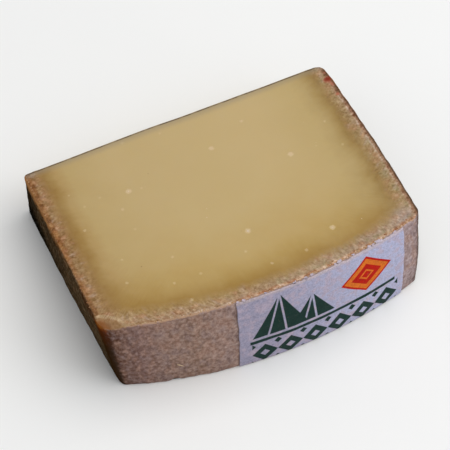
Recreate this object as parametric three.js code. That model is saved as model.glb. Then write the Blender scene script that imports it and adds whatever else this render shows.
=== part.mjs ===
// A wedge cut from a wheel of hard mountain cheese, lying on one of its two long cut faces.
// X runs across the wheel's height, Y from the heel (the wheel's rim) towards the back cut, Z up.
// All sizes are millimetres. The origin is in the middle of the wedge's box, on the face it rests on.

import * as THREE from "three";
import { mergeVertices } from "three/addons/utils/BufferGeometryUtils.js";
import { ImprovedNoise } from "three/addons/math/ImprovedNoise.js";

// Wedge
const WHEEL_HEIGHT = 110;
const DEPTH_LEFT = 72.1;
const DEPTH_RIGHT = 74.7;
const HEEL_THICKNESS = 34.7;
const BACK_THICKNESS = 21.6;

// Middle of the finished wedge's box, measured from the middle of the heel's chord
const MIDDLE_X = 0.64;
const MIDDLE_Y = 30.94;

// Heel: a shallow bow across the wheel's height that leans out towards the resting face
const HEEL_BOW = 8.2;
const HEEL_TURN = -0.0113;
const HEEL_OVERHANG = 3.9;
const HEEL_OVERHANG_GAIN = 0.6;

// Back cut: all but flat, with a slight bow left of its middle
const BACK_BOW = 0.45;
const BACK_BOW_X = -12;
const BACK_BOW_REACH = 16;

// Flat sides of the wheel: the left one leans in under the cut, the right one swells beneath it
const LEFT_LEAN = 4.1;
const LEFT_LEAN_POWER = 1.55;
const RIGHT_SWELL = 1.25;
const SWELL_POWER = 0.6;
const SWELL_FOOT = 0.5;
const SIDE_REACH = 3;

// Rounded upright edges, and the small rounding of the cut rims
const HEEL_LEFT_CORNER_TOP = 4.5;
const HEEL_RIGHT_CORNER_TOP = 3;
const HEEL_CORNER_BOTTOM = 2;
const BACK_RIGHT_CORNER = 2.8;
const BACK_LEFT_CORNER = 1.6;
const RIM_ROUND = 0.3;

// Chip at the left heel corner of the upper cut
const CHIP_X = -56.5;
const CHIP_Y = -3.5;
const CHIP_RADIUS = 9.7;
const CHIP_SLOPE = 0.26;

// Crags of the pressed rind: a broad swell with a finer wrinkle on it
const CRAG_BROAD = 0.35;
const CRAG_BROAD_WAVE = 14;
const CRAG_FINE = 0.35;
const CRAG_FINE_WAVE = 5.5;
const CRAG_START = 31.5;
const CRAG_REACH = 9;

// Paper label band glued round the heel
const LABEL_LEFT = -12.7;
const LABEL_RIGHT = 47.8;
const LABEL_THICKNESS = 0.4;
const LABEL_GAP = 0.2;
const LABEL_BOTTOM = 0.9;
const LABEL_TOP_MARGIN = 0.3;
const LABEL_CLEAR = 3;

// Mesh density: quads across the height, along the depth and up the thickness
const BODY_QUADS = [44, 28, 12];
const LABEL_QUADS = [30, 1, 12];
const EDGE_CROWDING = 0.62;

const noise = new ImprovedNoise();
const depthMiddle = (DEPTH_LEFT + DEPTH_RIGHT) / 2;
const halfHeight = WHEEL_HEIGHT / 2;

// Places on the wedge

function smooth(from, to, value) {
  return THREE.MathUtils.smoothstep(value, from, to);
}

// Thickness of the wedge at a place, from the resting face to the upper cut.
function thickness(y) {
  return HEEL_THICKNESS + ((BACK_THICKNESS - HEEL_THICKNESS) * y) / depthMiddle;
}

// How far the chip lowers the upper cut at a place.
function chipDrop(x, y) {
  const reach = CHIP_RADIUS - Math.hypot(x - CHIP_X, y - CHIP_Y);
  return CHIP_SLOPE * Math.max(0, reach);
}

// The heel's surface, before its crags.
function heelY(x, z) {
  const across = x / halfHeight;
  const bow = HEEL_BOW * (1 - across * across);
  const height = Math.min(1, z / HEEL_THICKNESS);
  const overhang = (HEEL_OVERHANG + HEEL_OVERHANG_GAIN * across) * (1 - height * height);
  return HEEL_TURN * x - bow - overhang;
}

function backY(x) {
  const bow = BACK_BOW * Math.exp(-(((x - BACK_BOW_X) / BACK_BOW_REACH) ** 2));
  return depthMiddle + ((DEPTH_RIGHT - DEPTH_LEFT) / 2) * (x / halfHeight) + bow;
}

// How far the right side stands out: most at half depth and close below the upper cut.
function rightSwell(across, share, height) {
  const along = Math.max(0, Math.sin(Math.PI * share)) ** SWELL_POWER;
  const up = THREE.MathUtils.lerp(SWELL_FOOT, 1, height);
  return RIGHT_SWELL * along * up * Math.max(0, across) ** SIDE_REACH;
}

// Height of a crag at a place on the rind.
function crag(x, y, z) {
  const layer = (height, wave) => height * noise.noise((x + CRAG_START) / wave, y / wave, z / wave);
  return layer(CRAG_BROAD, CRAG_BROAD_WAVE) + layer(CRAG_FINE, CRAG_FINE_WAVE);
}

// One where the rind is bare, none where the label lies on it.
function bareHeel(x) {
  const before = 1 - smooth(LABEL_LEFT - LABEL_CLEAR, LABEL_LEFT, x);
  const after = smooth(LABEL_RIGHT, LABEL_RIGHT + LABEL_CLEAR, x);
  return Math.max(before, after);
}

// Mesh making

// Spreads a share from 0 to 1 so that the mesh lines crowd towards both ends.
function crowded(share) {
  const eased = 0.5 - 0.5 * Math.cos(Math.PI * share);
  return THREE.MathUtils.lerp(share, eased, EDGE_CROWDING);
}

// A closed box of quads whose corners are moved by a map from shares (0 to 1 each) to a place.
function mappedBox(quads, map) {
  const [across, along, up] = quads;
  const box = new THREE.BoxGeometry(1, 1, 1, across, along, up);
  box.deleteAttribute("normal");
  box.deleteAttribute("uv");
  const closed = mergeVertices(box);
  const position = closed.getAttribute("position");
  const place = new THREE.Vector3();
  for (let i = 0; i < position.count; i += 1) {
    place.fromBufferAttribute(position, i).addScalar(0.5);
    map(place);
    position.setXYZ(i, place.x, place.y, place.z);
  }
  closed.computeVertexNormals();
  return closed;
}

function cornerRadius(x, y, height) {
  if (y > depthMiddle / 2) return x < 0 ? BACK_LEFT_CORNER : BACK_RIGHT_CORNER;
  const top = x < 0 ? HEEL_LEFT_CORNER_TOP : HEEL_RIGHT_CORNER_TOP;
  return THREE.MathUtils.lerp(HEEL_CORNER_BOTTOM, top, height);
}

// Rounds an upright edge: the square of one radius at each corner of the plan becomes a quarter disc.
function roundCorner(place, height) {
  const radius = cornerRadius(place.x, place.y, height);
  const sideX = Math.sign(place.x);
  const towardsBack = place.y > depthMiddle / 2;
  const inX = (Math.abs(place.x) - (halfHeight - radius)) / radius;
  const inY = ((towardsBack ? place.y : depthMiddle - place.y) - (depthMiddle - radius)) / radius;
  if (inX <= 0 || inY <= 0) return;
  const roundX = inX * Math.sqrt(1 - (inY * inY) / 2);
  const roundY = inY * Math.sqrt(1 - (inX * inX) / 2);
  place.x = sideX * (halfHeight - radius + radius * roundX);
  place.y = towardsBack
    ? depthMiddle - radius + radius * roundY
    : radius - radius * roundY;
}

// Draws the plan in near the resting face and near the upper cut, so that both rims are rounded.
function rimInset(z, top) {
  const toRim = Math.min(z, top - z);
  const into = Math.max(0, 1 - toRim / RIM_ROUND);
  return RIM_ROUND * (1 - Math.sqrt(1 - into * into));
}

// From shares of the box to the cheese itself.
function cheesePlace(place) {
  const height = crowded(place.z);
  place.x = WHEEL_HEIGHT * (crowded(place.x) - 0.5);
  place.y = depthMiddle * crowded(place.y);
  roundCorner(place, height);
  const inset = rimInset(height * HEEL_THICKNESS, HEEL_THICKNESS);
  place.x *= 1 - inset / halfHeight;
  place.y = THREE.MathUtils.mapLinear(place.y, 0, depthMiddle, inset, depthMiddle - inset);

  const x = place.x;
  const share = place.y / depthMiddle;
  const across = x / halfHeight;
  const front = heelY(x, height * HEEL_THICKNESS);
  const y = THREE.MathUtils.lerp(front, backY(x), share);
  const z = height * (thickness(y) - chipDrop(x, y));

  const leanShare = Math.max(0, 1 - y / depthMiddle) ** LEFT_LEAN_POWER;
  const leanIn = LEFT_LEAN * leanShare * (1 - height) * Math.max(0, -across) ** SIDE_REACH;
  const swell = rightSwell(across, share, height);
  const edgeX = Math.abs(across) ** CRAG_REACH;
  const edgeY = (1 - share) ** CRAG_REACH * bareHeel(x);
  const rough = crag(x, y, z);
  place.set(x + leanIn + swell + Math.sign(x) * edgeX * rough, y - edgeY * rough, z);
}

// From shares of the box to the label band: X along the heel, Y through the paper, Z up.
function labelPlace(place) {
  const x = THREE.MathUtils.lerp(LABEL_LEFT, LABEL_RIGHT, place.x);
  const top = thickness(heelY(x, HEEL_THICKNESS)) - LABEL_TOP_MARGIN;
  const z = THREE.MathUtils.lerp(LABEL_BOTTOM, top, place.z);
  const outward = LABEL_GAP + LABEL_THICKNESS * (1 - place.y);
  const middle = z / thickness(heelY(x, HEEL_THICKNESS));
  place.set(x, heelY(x, middle * HEEL_THICKNESS) - outward, z);
}

// The pieces

const cheese = new THREE.Mesh(
  mappedBox(BODY_QUADS, cheesePlace),
  new THREE.MeshStandardMaterial({ color: 0xbfa777, roughness: 0.55, metalness: 0 }),
);
cheese.name = "cheese";

const label = new THREE.Mesh(
  mappedBox(LABEL_QUADS, labelPlace),
  new THREE.MeshStandardMaterial({ color: 0xa9a6bc, roughness: 0.75, metalness: 0 }),
);
label.name = "label_band";

const wedge = new THREE.Group();
wedge.name = "cheese_wedge";
wedge.add(cheese, label);
wedge.position.set(-MIDDLE_X, -MIDDLE_Y, 0);

const part = new THREE.Group();
part.add(wedge);

export default part;
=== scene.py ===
"""A wedge cut from a wheel of pressed hard cheese, lying on one of its two long cut faces.

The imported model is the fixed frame: X runs across the wheel's height, Y from the rind heel to the back cut
and Z up. Sizes in this file are millimetres, and they become metres only where a mesh, a lamp or the camera
is made. The wedge, its paper band, its crystals and its crumbs are classes, each with its own finish.
"""

from __future__ import annotations

import logging
import math
from dataclasses import dataclass
from enum import Enum
from typing import Any

import bpy
import numpy as np
from mathutils import Matrix, Vector


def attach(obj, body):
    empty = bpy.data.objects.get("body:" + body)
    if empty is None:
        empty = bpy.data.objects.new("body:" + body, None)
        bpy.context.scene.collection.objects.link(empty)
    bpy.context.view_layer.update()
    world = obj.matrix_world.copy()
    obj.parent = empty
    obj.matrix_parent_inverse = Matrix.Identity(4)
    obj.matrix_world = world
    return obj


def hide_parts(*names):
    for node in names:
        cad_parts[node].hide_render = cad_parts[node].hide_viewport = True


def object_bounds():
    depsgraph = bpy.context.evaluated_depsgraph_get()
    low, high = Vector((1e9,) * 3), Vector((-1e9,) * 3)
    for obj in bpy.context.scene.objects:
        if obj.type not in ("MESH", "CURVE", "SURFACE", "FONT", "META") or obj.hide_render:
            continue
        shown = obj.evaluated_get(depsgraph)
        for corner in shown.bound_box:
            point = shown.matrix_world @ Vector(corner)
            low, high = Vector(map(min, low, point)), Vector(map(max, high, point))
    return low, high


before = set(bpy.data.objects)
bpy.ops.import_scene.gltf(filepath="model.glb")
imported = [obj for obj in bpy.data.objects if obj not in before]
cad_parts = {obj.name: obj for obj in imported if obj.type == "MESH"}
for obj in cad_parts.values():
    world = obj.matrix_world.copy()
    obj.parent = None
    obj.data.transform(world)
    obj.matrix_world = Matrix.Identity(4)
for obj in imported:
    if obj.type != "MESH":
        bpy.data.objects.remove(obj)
CAD_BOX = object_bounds()

LOG = logging.getLogger("cheese_wedge")
MM = 0.001
FULL_TURN = 2.0 * math.pi
SCREEN_GAMMA = 2.2
BODY = "root"

# Outward direction of the upper cut beside its rim
RIM_UP = (0.0, 0.17, 0.98)

Array = np.ndarray
Socket = bpy.types.NodeSocket
Inputs = dict[int | str, Any] | None


class Side(Enum):
    """Sides of the wedge, each as the axis and the end of the box that the wedge is mapped from."""

    LEFT = (0, 0)
    RIGHT = (0, 1)
    HEEL = (1, 0)
    BACK = (1, 1)
    REST = (2, 0)
    CUT = (2, 1)


class Slot(Enum):
    """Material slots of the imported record."""

    PASTE = "paste"
    RIND = "rind"
    CRYSTAL = "crystal"
    PAPER = "label_paper"


RIND_SIDES = (Side.LEFT, Side.RIGHT, Side.HEEL)


# Small tools

def smooth_step(value: Array, low: float, high: float) -> Array:
    """Eases from none at low to one at high."""
    share = np.clip((value - low) / (high - low), 0.0, 1.0)
    return share * share * (3.0 - 2.0 * share)


def round_least(first: Array, second: Array) -> Array:
    """The smaller of two distances, rounded off the more the more alike they are."""
    together = (first**1.5 + second**1.5) ** (2.0 / 3.0)
    return first * second / np.maximum(together, 1e-9)


def crowded(count: int, amount: float, far_end: bool = True) -> Array:
    """Spreads mesh lines so that they crowd towards the ends.

    Args:
        count: number of gaps between the lines.
        amount: 0 for even lines, 1 for lines as crowded as they can be.
        far_end: False to crowd at the near end only.

    Returns:
        The lines as shares from 0 to 1.
    """
    share = np.linspace(0.0, 1.0, count + 1)
    eased = 0.5 - 0.5 * np.cos(math.pi * share) if far_end else 1.0 - np.cos(math.pi / 2.0 * share)
    return (1.0 - amount) * share + amount * eased


def point_normals(points: Array, quads: Array) -> Array:
    """Works out the outward direction at each point of a closed skin.

    Args:
        points: one row for each point.
        quads: four point numbers a row.

    Returns:
        One unit vector for each point.
    """
    corners = [points[quads[:, k]] for k in range(4)]
    facing = np.cross(corners[2] - corners[0], corners[3] - corners[1])
    normals = np.zeros_like(points)
    for k in range(4):
        np.add.at(normals, quads[:, k], facing)
    return normals / np.maximum(np.linalg.norm(normals, axis=1, keepdims=True), 1e-12)


@dataclass(frozen=True)
class GradientNoise:
    """Smooth seeded noise in space, worked out for many points at once.

    Attributes:
        seed: number that fixes the pattern.
        cells: number of cells after which the pattern repeats.
        gain: factor that brings it to about its full width.
    """

    seed: int
    cells: int = 256
    gain: float = 1.4

    def at(self, points: Array, wave: float) -> Array:
        """Reads the noise at some points.

        Args:
            points: places in millimetres, one a row.
            wave: size of one swell in millimetres.

        Returns:
            One number a point, mostly between -0.7 and 0.7.
        """
        draw = np.random.default_rng(self.seed)
        order = draw.permutation(self.cells)
        slopes = draw.normal(size=(self.cells, 3))
        slopes /= np.linalg.norm(slopes, axis=1, keepdims=True)
        scaled = points / wave
        cell = np.floor(scaled).astype(int)
        inside = scaled - cell
        ease = inside**3 * (inside * (inside * 6.0 - 15.0) + 10.0)
        total = np.zeros(len(points))
        for corner in np.ndindex(2, 2, 2):
            spot = cell + corner
            key = order[spot[:, 0] % self.cells]
            key = order[(key + spot[:, 1]) % self.cells]
            key = order[(key + spot[:, 2]) % self.cells]
            slope = np.einsum("ij,ij->i", slopes[key], inside - corner)
            weight = np.prod(np.where(corner, ease, 1.0 - ease), axis=1)
            total += slope * weight
        return total * self.gain


# The wedge's form

@dataclass(frozen=True)
class WedgeForm:
    """The wedge's own form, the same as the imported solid's, in millimetres.

    Attributes:
        wheel_height: size across, from one flat side of the wheel to the other.
        depth_left, depth_right: length of the upper cut at the left and at the right rind.
        heel_thickness, back_thickness: thickness at the heel and at the back cut.
        middle: place of the row's origin, measured from the middle of the heel's chord.
        heel_bow, heel_turn: how far the heel bows out, and the slope of its chord.
        heel_overhang, overhang_gain: how far the heel's foot stands out, and how that grows to the right.
        left_lean, left_lean_power: how far the left side leans in at the heel, and how fast that dies out.
        back_bow: middle across, height and reach of the back cut's slight bow.
        right_swell, swell_power: how far the right side swells, and how fast it does from both ends.
        swell_foot: share of the swell that is left at the resting face.
        side_reach: power that keeps the lean and the swell near the sides.
        corner_heel_left, corner_heel_right, corner_foot: radii of the heel's corners at the cut and below.
        corner_back_left, corner_back_right: radii of the back corners.
        rim_round: rounding of the two cut rims.
        chip_centre, chip_radius, chip_slope: middle and radius of the chip's crease, and how steep it falls.
    """

    wheel_height: float = 110.0
    depth_left: float = 72.1
    depth_right: float = 74.7
    heel_thickness: float = 34.7
    back_thickness: float = 21.6
    middle: tuple[float, float, float] = (0.64, 30.94, 0.0)
    heel_bow: float = 8.2
    heel_turn: float = -0.0113
    heel_overhang: float = 3.9
    overhang_gain: float = 0.6
    left_lean: float = 4.1
    left_lean_power: float = 1.55
    back_bow: tuple[float, float, float] = (-12.0, 0.45, 16.0)
    right_swell: float = 1.25
    swell_power: float = 0.6
    swell_foot: float = 0.5
    side_reach: int = 3
    corner_heel_left: float = 4.5
    corner_heel_right: float = 3.0
    corner_foot: float = 2.0
    corner_back_left: float = 1.6
    corner_back_right: float = 2.8
    rim_round: float = 0.3
    chip_centre: tuple[float, float] = (-56.5, -3.5)
    chip_radius: float = 9.7
    chip_slope: float = 0.26

    @property
    def depth(self) -> float:
        """Depth of the upper cut halfway across."""
        return (self.depth_left + self.depth_right) / 2.0

    @property
    def half(self) -> float:
        """Half the size across."""
        return self.wheel_height / 2.0

    def thickness(self, y: Array) -> Array:
        """Height of the upper cut at a place along the depth."""
        return self.heel_thickness + (self.back_thickness - self.heel_thickness) * y / self.depth

    def chip_reach(self, x: Array, y: Array) -> Array:
        """How far a place lies inside the chip's crease; less than none outside it."""
        return self.chip_radius - np.hypot(x - self.chip_centre[0], y - self.chip_centre[1])

    def top(self, x: Array, y: Array) -> Array:
        """Height of the upper cut with its chip."""
        return self.thickness(y) - self.chip_slope * np.maximum(0.0, self.chip_reach(x, y))

    def rim_y(self, x: Array) -> Array:
        """Place along of the heel's upper rim."""
        return self.heel_y(x, np.full(len(x), self.heel_thickness))

    def heel_y(self, x: Array, z: Array) -> Array:
        """The heel's surface.

        Args:
            x: places across.
            z: heights, of the heel's thickness.

        Returns:
            Places along the depth.
        """
        across = x / self.half
        height = np.minimum(1.0, z / self.heel_thickness)
        bow = self.heel_bow * (1.0 - across * across)
        overhang = (self.heel_overhang + self.overhang_gain * across) * (1.0 - height * height)
        return self.heel_turn * x - bow - overhang

    def back_y(self, x: Array) -> Array:
        """The back cut's surface.

        Args:
            x: places across.

        Returns:
            Places along the depth.
        """
        middle, height, reach = self.back_bow
        bow = height * np.exp(-(((x - middle) / reach) ** 2))
        return self.depth + (self.depth_right - self.depth_left) / 2.0 * x / self.half + bow

    def swell(self, across: Array, share: Array, height: Array) -> Array:
        """How far the right side stands out.

        Args:
            across: places across, from -1 at the left side to 1 at the right one.
            share: shares of the depth.
            height: shares of the thickness.

        Returns:
            Distances in millimetres.
        """
        along = np.maximum(0.0, np.sin(math.pi * share)) ** self.swell_power
        up = self.swell_foot + (1.0 - self.swell_foot) * height
        return self.right_swell * along * up * np.maximum(0.0, across) ** self.side_reach

    def corner_radius(self, x: Array, y: Array, height: Array) -> Array:
        """Radius of the upright edge that is nearest to each place.

        Args:
            x: places across.
            y: places along the depth.
            height: shares of the thickness.

        Returns:
            Radii in millimetres.
        """
        top = np.where(x < 0.0, self.corner_heel_left, self.corner_heel_right)
        heel = self.corner_foot + (top - self.corner_foot) * height
        back = np.where(x < 0.0, self.corner_back_left, self.corner_back_right)
        return np.where(y > self.depth / 2.0, back, heel)

    def round_corners(self, x: Array, y: Array, height: Array) -> tuple[Array, Array]:
        """Rounds the upright edges of the plan.

        Args:
            x: places across, in the square plan.
            y: places along the depth, in the square plan.
            height: shares of the thickness.

        Returns:
            The places across and along in the rounded plan.
        """
        radius = self.corner_radius(x, y, height)
        to_back = y > self.depth / 2.0
        in_x = (np.abs(x) - (self.half - radius)) / radius
        in_y = (np.where(to_back, y, self.depth - y) - (self.depth - radius)) / radius
        inside = (in_x > 0.0) & (in_y > 0.0)
        round_x = in_x * np.sqrt(np.maximum(1.0 - in_y * in_y / 2.0, 0.0))
        round_y = in_y * np.sqrt(np.maximum(1.0 - in_x * in_x / 2.0, 0.0))
        new_x = np.sign(x) * (self.half - radius + radius * round_x)
        new_y = np.where(to_back, self.depth - radius + radius * round_y, radius - radius * round_y)
        return np.where(inside, new_x, x), np.where(inside, new_y, y)

    def place(self, shares: Array) -> Array:
        """Maps shares of a box to places on the wedge.

        Args:
            shares: one row of three shares from 0 to 1 for each point.

        Returns:
            Places in millimetres, measured from the middle of the heel's chord.
        """
        height = shares[:, 2]
        x = self.wheel_height * (shares[:, 0] - 0.5)
        y = self.depth * shares[:, 1]
        x, y = self.round_corners(x, y, height)
        z = height * self.heel_thickness
        into = np.maximum(0.0, 1.0 - np.minimum(z, self.heel_thickness - z) / self.rim_round)
        inset = self.rim_round * (1.0 - np.sqrt(1.0 - into * into))
        x = x * (1.0 - inset / self.half)
        y = inset + y * (self.depth - 2.0 * inset) / self.depth
        share = y / self.depth
        across = x / self.half
        front = self.heel_y(x, z)
        y = front + (self.back_y(x) - front) * share
        top = self.top(x, y)
        lean = self.left_lean * np.maximum(0.0, 1.0 - y / self.depth) ** self.left_lean_power
        lean = lean * (1.0 - height) * np.maximum(0.0, -across) ** self.side_reach
        return np.stack([x + lean + self.swell(across, share, height), y, height * top], axis=1)

    def to_row(self, points: Array) -> Array:
        """Moves points from the heel's chord to the row's origin, and from millimetres to metres."""
        return (points - np.array(self.middle)) * MM


@dataclass(frozen=True)
class BoxLattice:
    """A closed skin of quads on a box, whose six grids share their edge points.

    Attributes:
        lines: for each axis, the shares from 0 to 1 at which the mesh lines lie.
    """

    lines: tuple[Array, Array, Array]

    def skin(self) -> tuple[Array, Array, Array]:
        """Lays the quads.

        Returns:
            The points as shares of the box, the quads as point numbers, and the number of each quad's side.
        """
        counts = tuple(len(line) for line in self.lines)
        quads, sides = [], []
        for number, side in enumerate(Side):
            axis, end = side.value
            first, second = (axis + 1) % 3, (axis + 2) % 3
            a, b = np.meshgrid(np.arange(counts[first] - 1), np.arange(counts[second] - 1), indexing="ij")
            corners = []
            for step_a, step_b in ((0, 0), (1, 0), (1, 1), (0, 1)):
                index = {axis: np.full(a.shape, end * (counts[axis] - 1))}
                index[first] = a + step_a
                index[second] = b + step_b
                numbers = np.ravel_multi_index(tuple(index[k] for k in range(3)), counts)
                corners.append(numbers.ravel())
            grid = np.stack(corners if end else corners[::-1], axis=1)
            quads.append(grid)
            sides.append(np.full(len(grid), number))
        used, numbered = np.unique(np.concatenate(quads), return_inverse=True)
        spots = np.unravel_index(used, counts)
        shares = np.stack([line[spot] for line, spot in zip(self.lines, spots)], axis=1)
        return shares, numbered.reshape(-1, 4), np.concatenate(sides)


# Making pieces and node trees

def place_object(name: str, data: bpy.types.ID) -> bpy.types.Object:
    """Makes an object and links it to the scene.

    Args:
        name: the object's name.
        data: its mesh, lamp or camera.

    Returns:
        The object.
    """
    made = bpy.data.objects.new(name, data)
    bpy.context.scene.collection.objects.link(made)
    return made


def make_piece(
    name: str,
    points: Array,
    faces: Array,
    materials: list[bpy.types.Material],
    face_material: Array | None = None,
    values: dict[str, Array] | None = None,
) -> bpy.types.Object:
    """Makes a smooth mesh object at the origin.

    Args:
        name: the piece's name.
        points: places in metres, one a row.
        faces: point numbers, one face a row.
        materials: finishes of the piece.
        face_material: number of each face's finish, or None for the first.
        values: named numbers or vectors, one for each point.

    Returns:
        The object, linked to the scene.
    """
    mesh = bpy.data.meshes.new(name)
    mesh.from_pydata(points.tolist(), [], faces.tolist())
    for material in materials:
        mesh.materials.append(material)
    if face_material is not None:
        mesh.polygons.foreach_set("material_index", face_material.astype(np.int32))
    for label, numbers in (values or {}).items():
        vector = numbers.ndim == 2
        kind = "FLOAT_VECTOR" if vector else "FLOAT"
        attribute = mesh.attributes.new(label, kind, "POINT")
        attribute.data.foreach_set("vector" if vector else "value", numbers.astype(np.float32).ravel())
    if len(faces):
        mesh.shade_smooth()
    mesh.update()
    return place_object(name, mesh)


def fit_to_frame(piece: bpy.types.Object, slot: Slot, *nodes: str) -> None:
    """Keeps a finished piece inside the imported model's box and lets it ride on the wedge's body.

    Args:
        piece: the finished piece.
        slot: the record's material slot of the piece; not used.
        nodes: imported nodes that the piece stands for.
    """
    mesh = piece.data
    points = np.empty(3 * len(mesh.vertices), np.float32)
    mesh.vertices.foreach_get("co", points)
    low, high = (np.array(corner) for corner in CAD_BOX)
    mesh.vertices.foreach_set("co", np.clip(points.reshape(-1, 3), low, high).astype(np.float32).ravel())
    mesh.update()
    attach(piece, BODY)
    if nodes:
        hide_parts(*nodes)


@dataclass(frozen=True)
class Tone:
    """A colour as a screen shows it, 0 to 255 a channel."""

    red: float
    green: float
    blue: float

    def linear(self) -> tuple[float, float, float, float]:
        """The colour as a shader wants it.

        Returns:
            Red, green, blue and full alpha, from 0 to 1.
        """
        shares = [channel / 255.0 for channel in (self.red, self.green, self.blue)]
        plain = [c / 12.92 if c <= 0.04045 else ((c + 0.055) / 1.055) ** 2.4 for c in shares]
        return (plain[0], plain[1], plain[2], 1.0)


# Colours by a number in rising order, and a round spot on the cut: place across, place along and radius
Stops = tuple[tuple[float, Tone], ...]
Spot = tuple[float, float, float]


def stops(*rows: tuple[float, float, float, float]) -> Stops:
    """Stops of a colour ramp, from rows of a place on it and the colour's red, green and blue."""
    return tuple((place, Tone(*colour)) for place, *colour in rows)


# Soft halos of the crystals that are seen on the cut
CRYSTAL_SPOTS: tuple[Spot, ...] = (
    (27.5, 7.0, 1.0), (2.5, 17.5, 1.1), (28.5, 41.5, 1.1), (-26.0, 50.0, 1.2), (16.0, 2.0, 0.7),
    (-45.0, 40.5, 0.6), (-1.5, 10.0, 0.6), (4.0, 2.0, 0.6), (-30.5, 43.5, 0.7), (-40.5, 14.5, 0.6),
    (-18.0, 8.0, 0.6), (45.0, 50.0, 0.4), (20.0, 62.5, 0.8), (6.0, 55.5, 1.0), (-27.0, 8.0, 0.5),
    (-23.5, 18.0, 0.6), (-38.5, 24.0, 0.4), (-24.5, -0.5, 0.6),
)


@dataclass(frozen=True)
class Signal:
    """A number, vector or colour on its way through a node tree, open to plain sums and products.

    Attributes:
        tree: builder of the tree that it runs through.
        socket: the output that carries it.
    """

    tree: TreeBuilder
    socket: Socket

    def __add__(self, other: Any) -> Signal:
        """The sum of the two."""
        return self.tree.math("ADD", self, other)

    def __sub__(self, other: Any) -> Signal:
        """What is left of this one."""
        return self.tree.math("SUBTRACT", self, other)

    def __rsub__(self, other: float) -> Signal:
        """What is left of a plain number."""
        return self.tree.math("SUBTRACT", other, self)

    def __mul__(self, other: Any) -> Signal:
        """The product of the two."""
        return self.tree.math("MULTIPLY", self, other)

    def __truediv__(self, other: float) -> Signal:
        """This one as a share of a plain number."""
        return self.tree.math("DIVIDE", self, other)

    def __pow__(self, power: float) -> Signal:
        """This one raised to a power."""
        return self.tree.math("POWER", self, power)

    def __abs__(self) -> Signal:
        """Its size without the sign."""
        return self.tree.math("ABSOLUTE", self)

    def smaller(self, other: Signal) -> Signal:
        """The smaller of the two."""
        return self.tree.math("MINIMUM", self, other)

    def larger(self, other: Signal) -> Signal:
        """The larger of the two."""
        return self.tree.math("MAXIMUM", self, other)

    def without(self, other: Signal) -> Signal:
        """The share that another share leaves of this one."""
        return self.tree.math("SUBTRACT", self, other, clamp=True)

    def ease(self, low: Any, high: Any, start: Any = 0.0, end: Any = 1.0, kind: str = "SMOOTHSTEP") -> Signal:
        """Eases a number from one range into another.

        Args:
            low: value that gives start; it may be the larger one where both are plain numbers.
            high: value that gives end.
            start: result at low.
            end: result at high.
            kind: Blender's name for the way from start to end.

        Returns:
            The eased number.
        """
        turned = not isinstance(high, Signal) and low > high
        ends = (high, low, end, start) if turned else (low, high, start, end)
        inputs = {"Value": self, **dict(zip(("From Min", "From Max", "To Min", "To Max"), ends))}
        return self.tree.out("ShaderNodeMapRange", inputs, interpolation_type=kind)

    def blend(self, none: Any, full: Any) -> Signal:
        """Eases from a number where this share is none to another where it is one."""
        return self.ease(0.0, 1.0, none, full)

    def spread(self, width: float, middle: float = 0.5) -> Signal:
        """Noise moved to lie round none and multiplied by a width."""
        return (self - middle) * width


class TreeBuilder:
    """Adds nodes to a node tree and links their sockets.

    Attributes:
        tree: the node tree.
    """

    def __init__(self, tree: bpy.types.NodeTree) -> None:
        """Takes the tree to build in."""
        self.tree = tree

    def add(self, kind: str, inputs: Inputs = None, **settings: Any) -> bpy.types.Node:
        """Adds one node.

        Args:
            kind: Blender's name for the node's type.
            inputs: values or signals for the node's inputs, by name or number.
            settings: the node's own settings.

        Returns:
            The node.
        """
        node = self.tree.nodes.new(kind)
        for name, value in settings.items():
            setattr(node, name, value)
        for key, value in (inputs or {}).items():
            self.feed(node.inputs[key], value)
        return node

    def out(self, kind: str, inputs: Inputs = None, output: int | str = 0, **settings: Any) -> Signal:
        """Adds one node like add, and hands on the output of that name or number."""
        return Signal(self, self.add(kind, inputs, **settings).outputs[output])

    def feed(self, socket: Socket, value: Any) -> None:
        """Links a socket to a signal, or sets its value.

        Args:
            socket: the input.
            value: a signal, a tone or a plain value.
        """
        if isinstance(value, Signal):
            self.tree.links.new(value.socket, socket)
        elif isinstance(value, Tone):
            socket.default_value = value.linear()
        else:
            socket.default_value = value

    def math(self, operation: str, *values: Any, clamp: bool = False) -> Signal:
        """Adds one sum, product or like step, kept between 0 and 1 if it is clamped."""
        return self.out("ShaderNodeMath", dict(enumerate(values)), operation=operation, use_clamp=clamp)

    def noise(self, place: Signal, wave: float, detail: float = 2.0, roughness: float = 0.55) -> Signal:
        """Soft noise round 0.5, by the size of its swells and the finer layers in them."""
        inputs = {"Vector": place, "Scale": 1.0 / wave, "Detail": detail, "Roughness": roughness}
        return self.out("ShaderNodeTexNoise", inputs, "Fac")

    def scale(self, vector: Any, factor: Any) -> Signal:
        """A vector or colour made larger or smaller by a factor."""
        return self.out("ShaderNodeVectorMath", {0: vector, "Scale": factor}, operation="SCALE")


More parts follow.
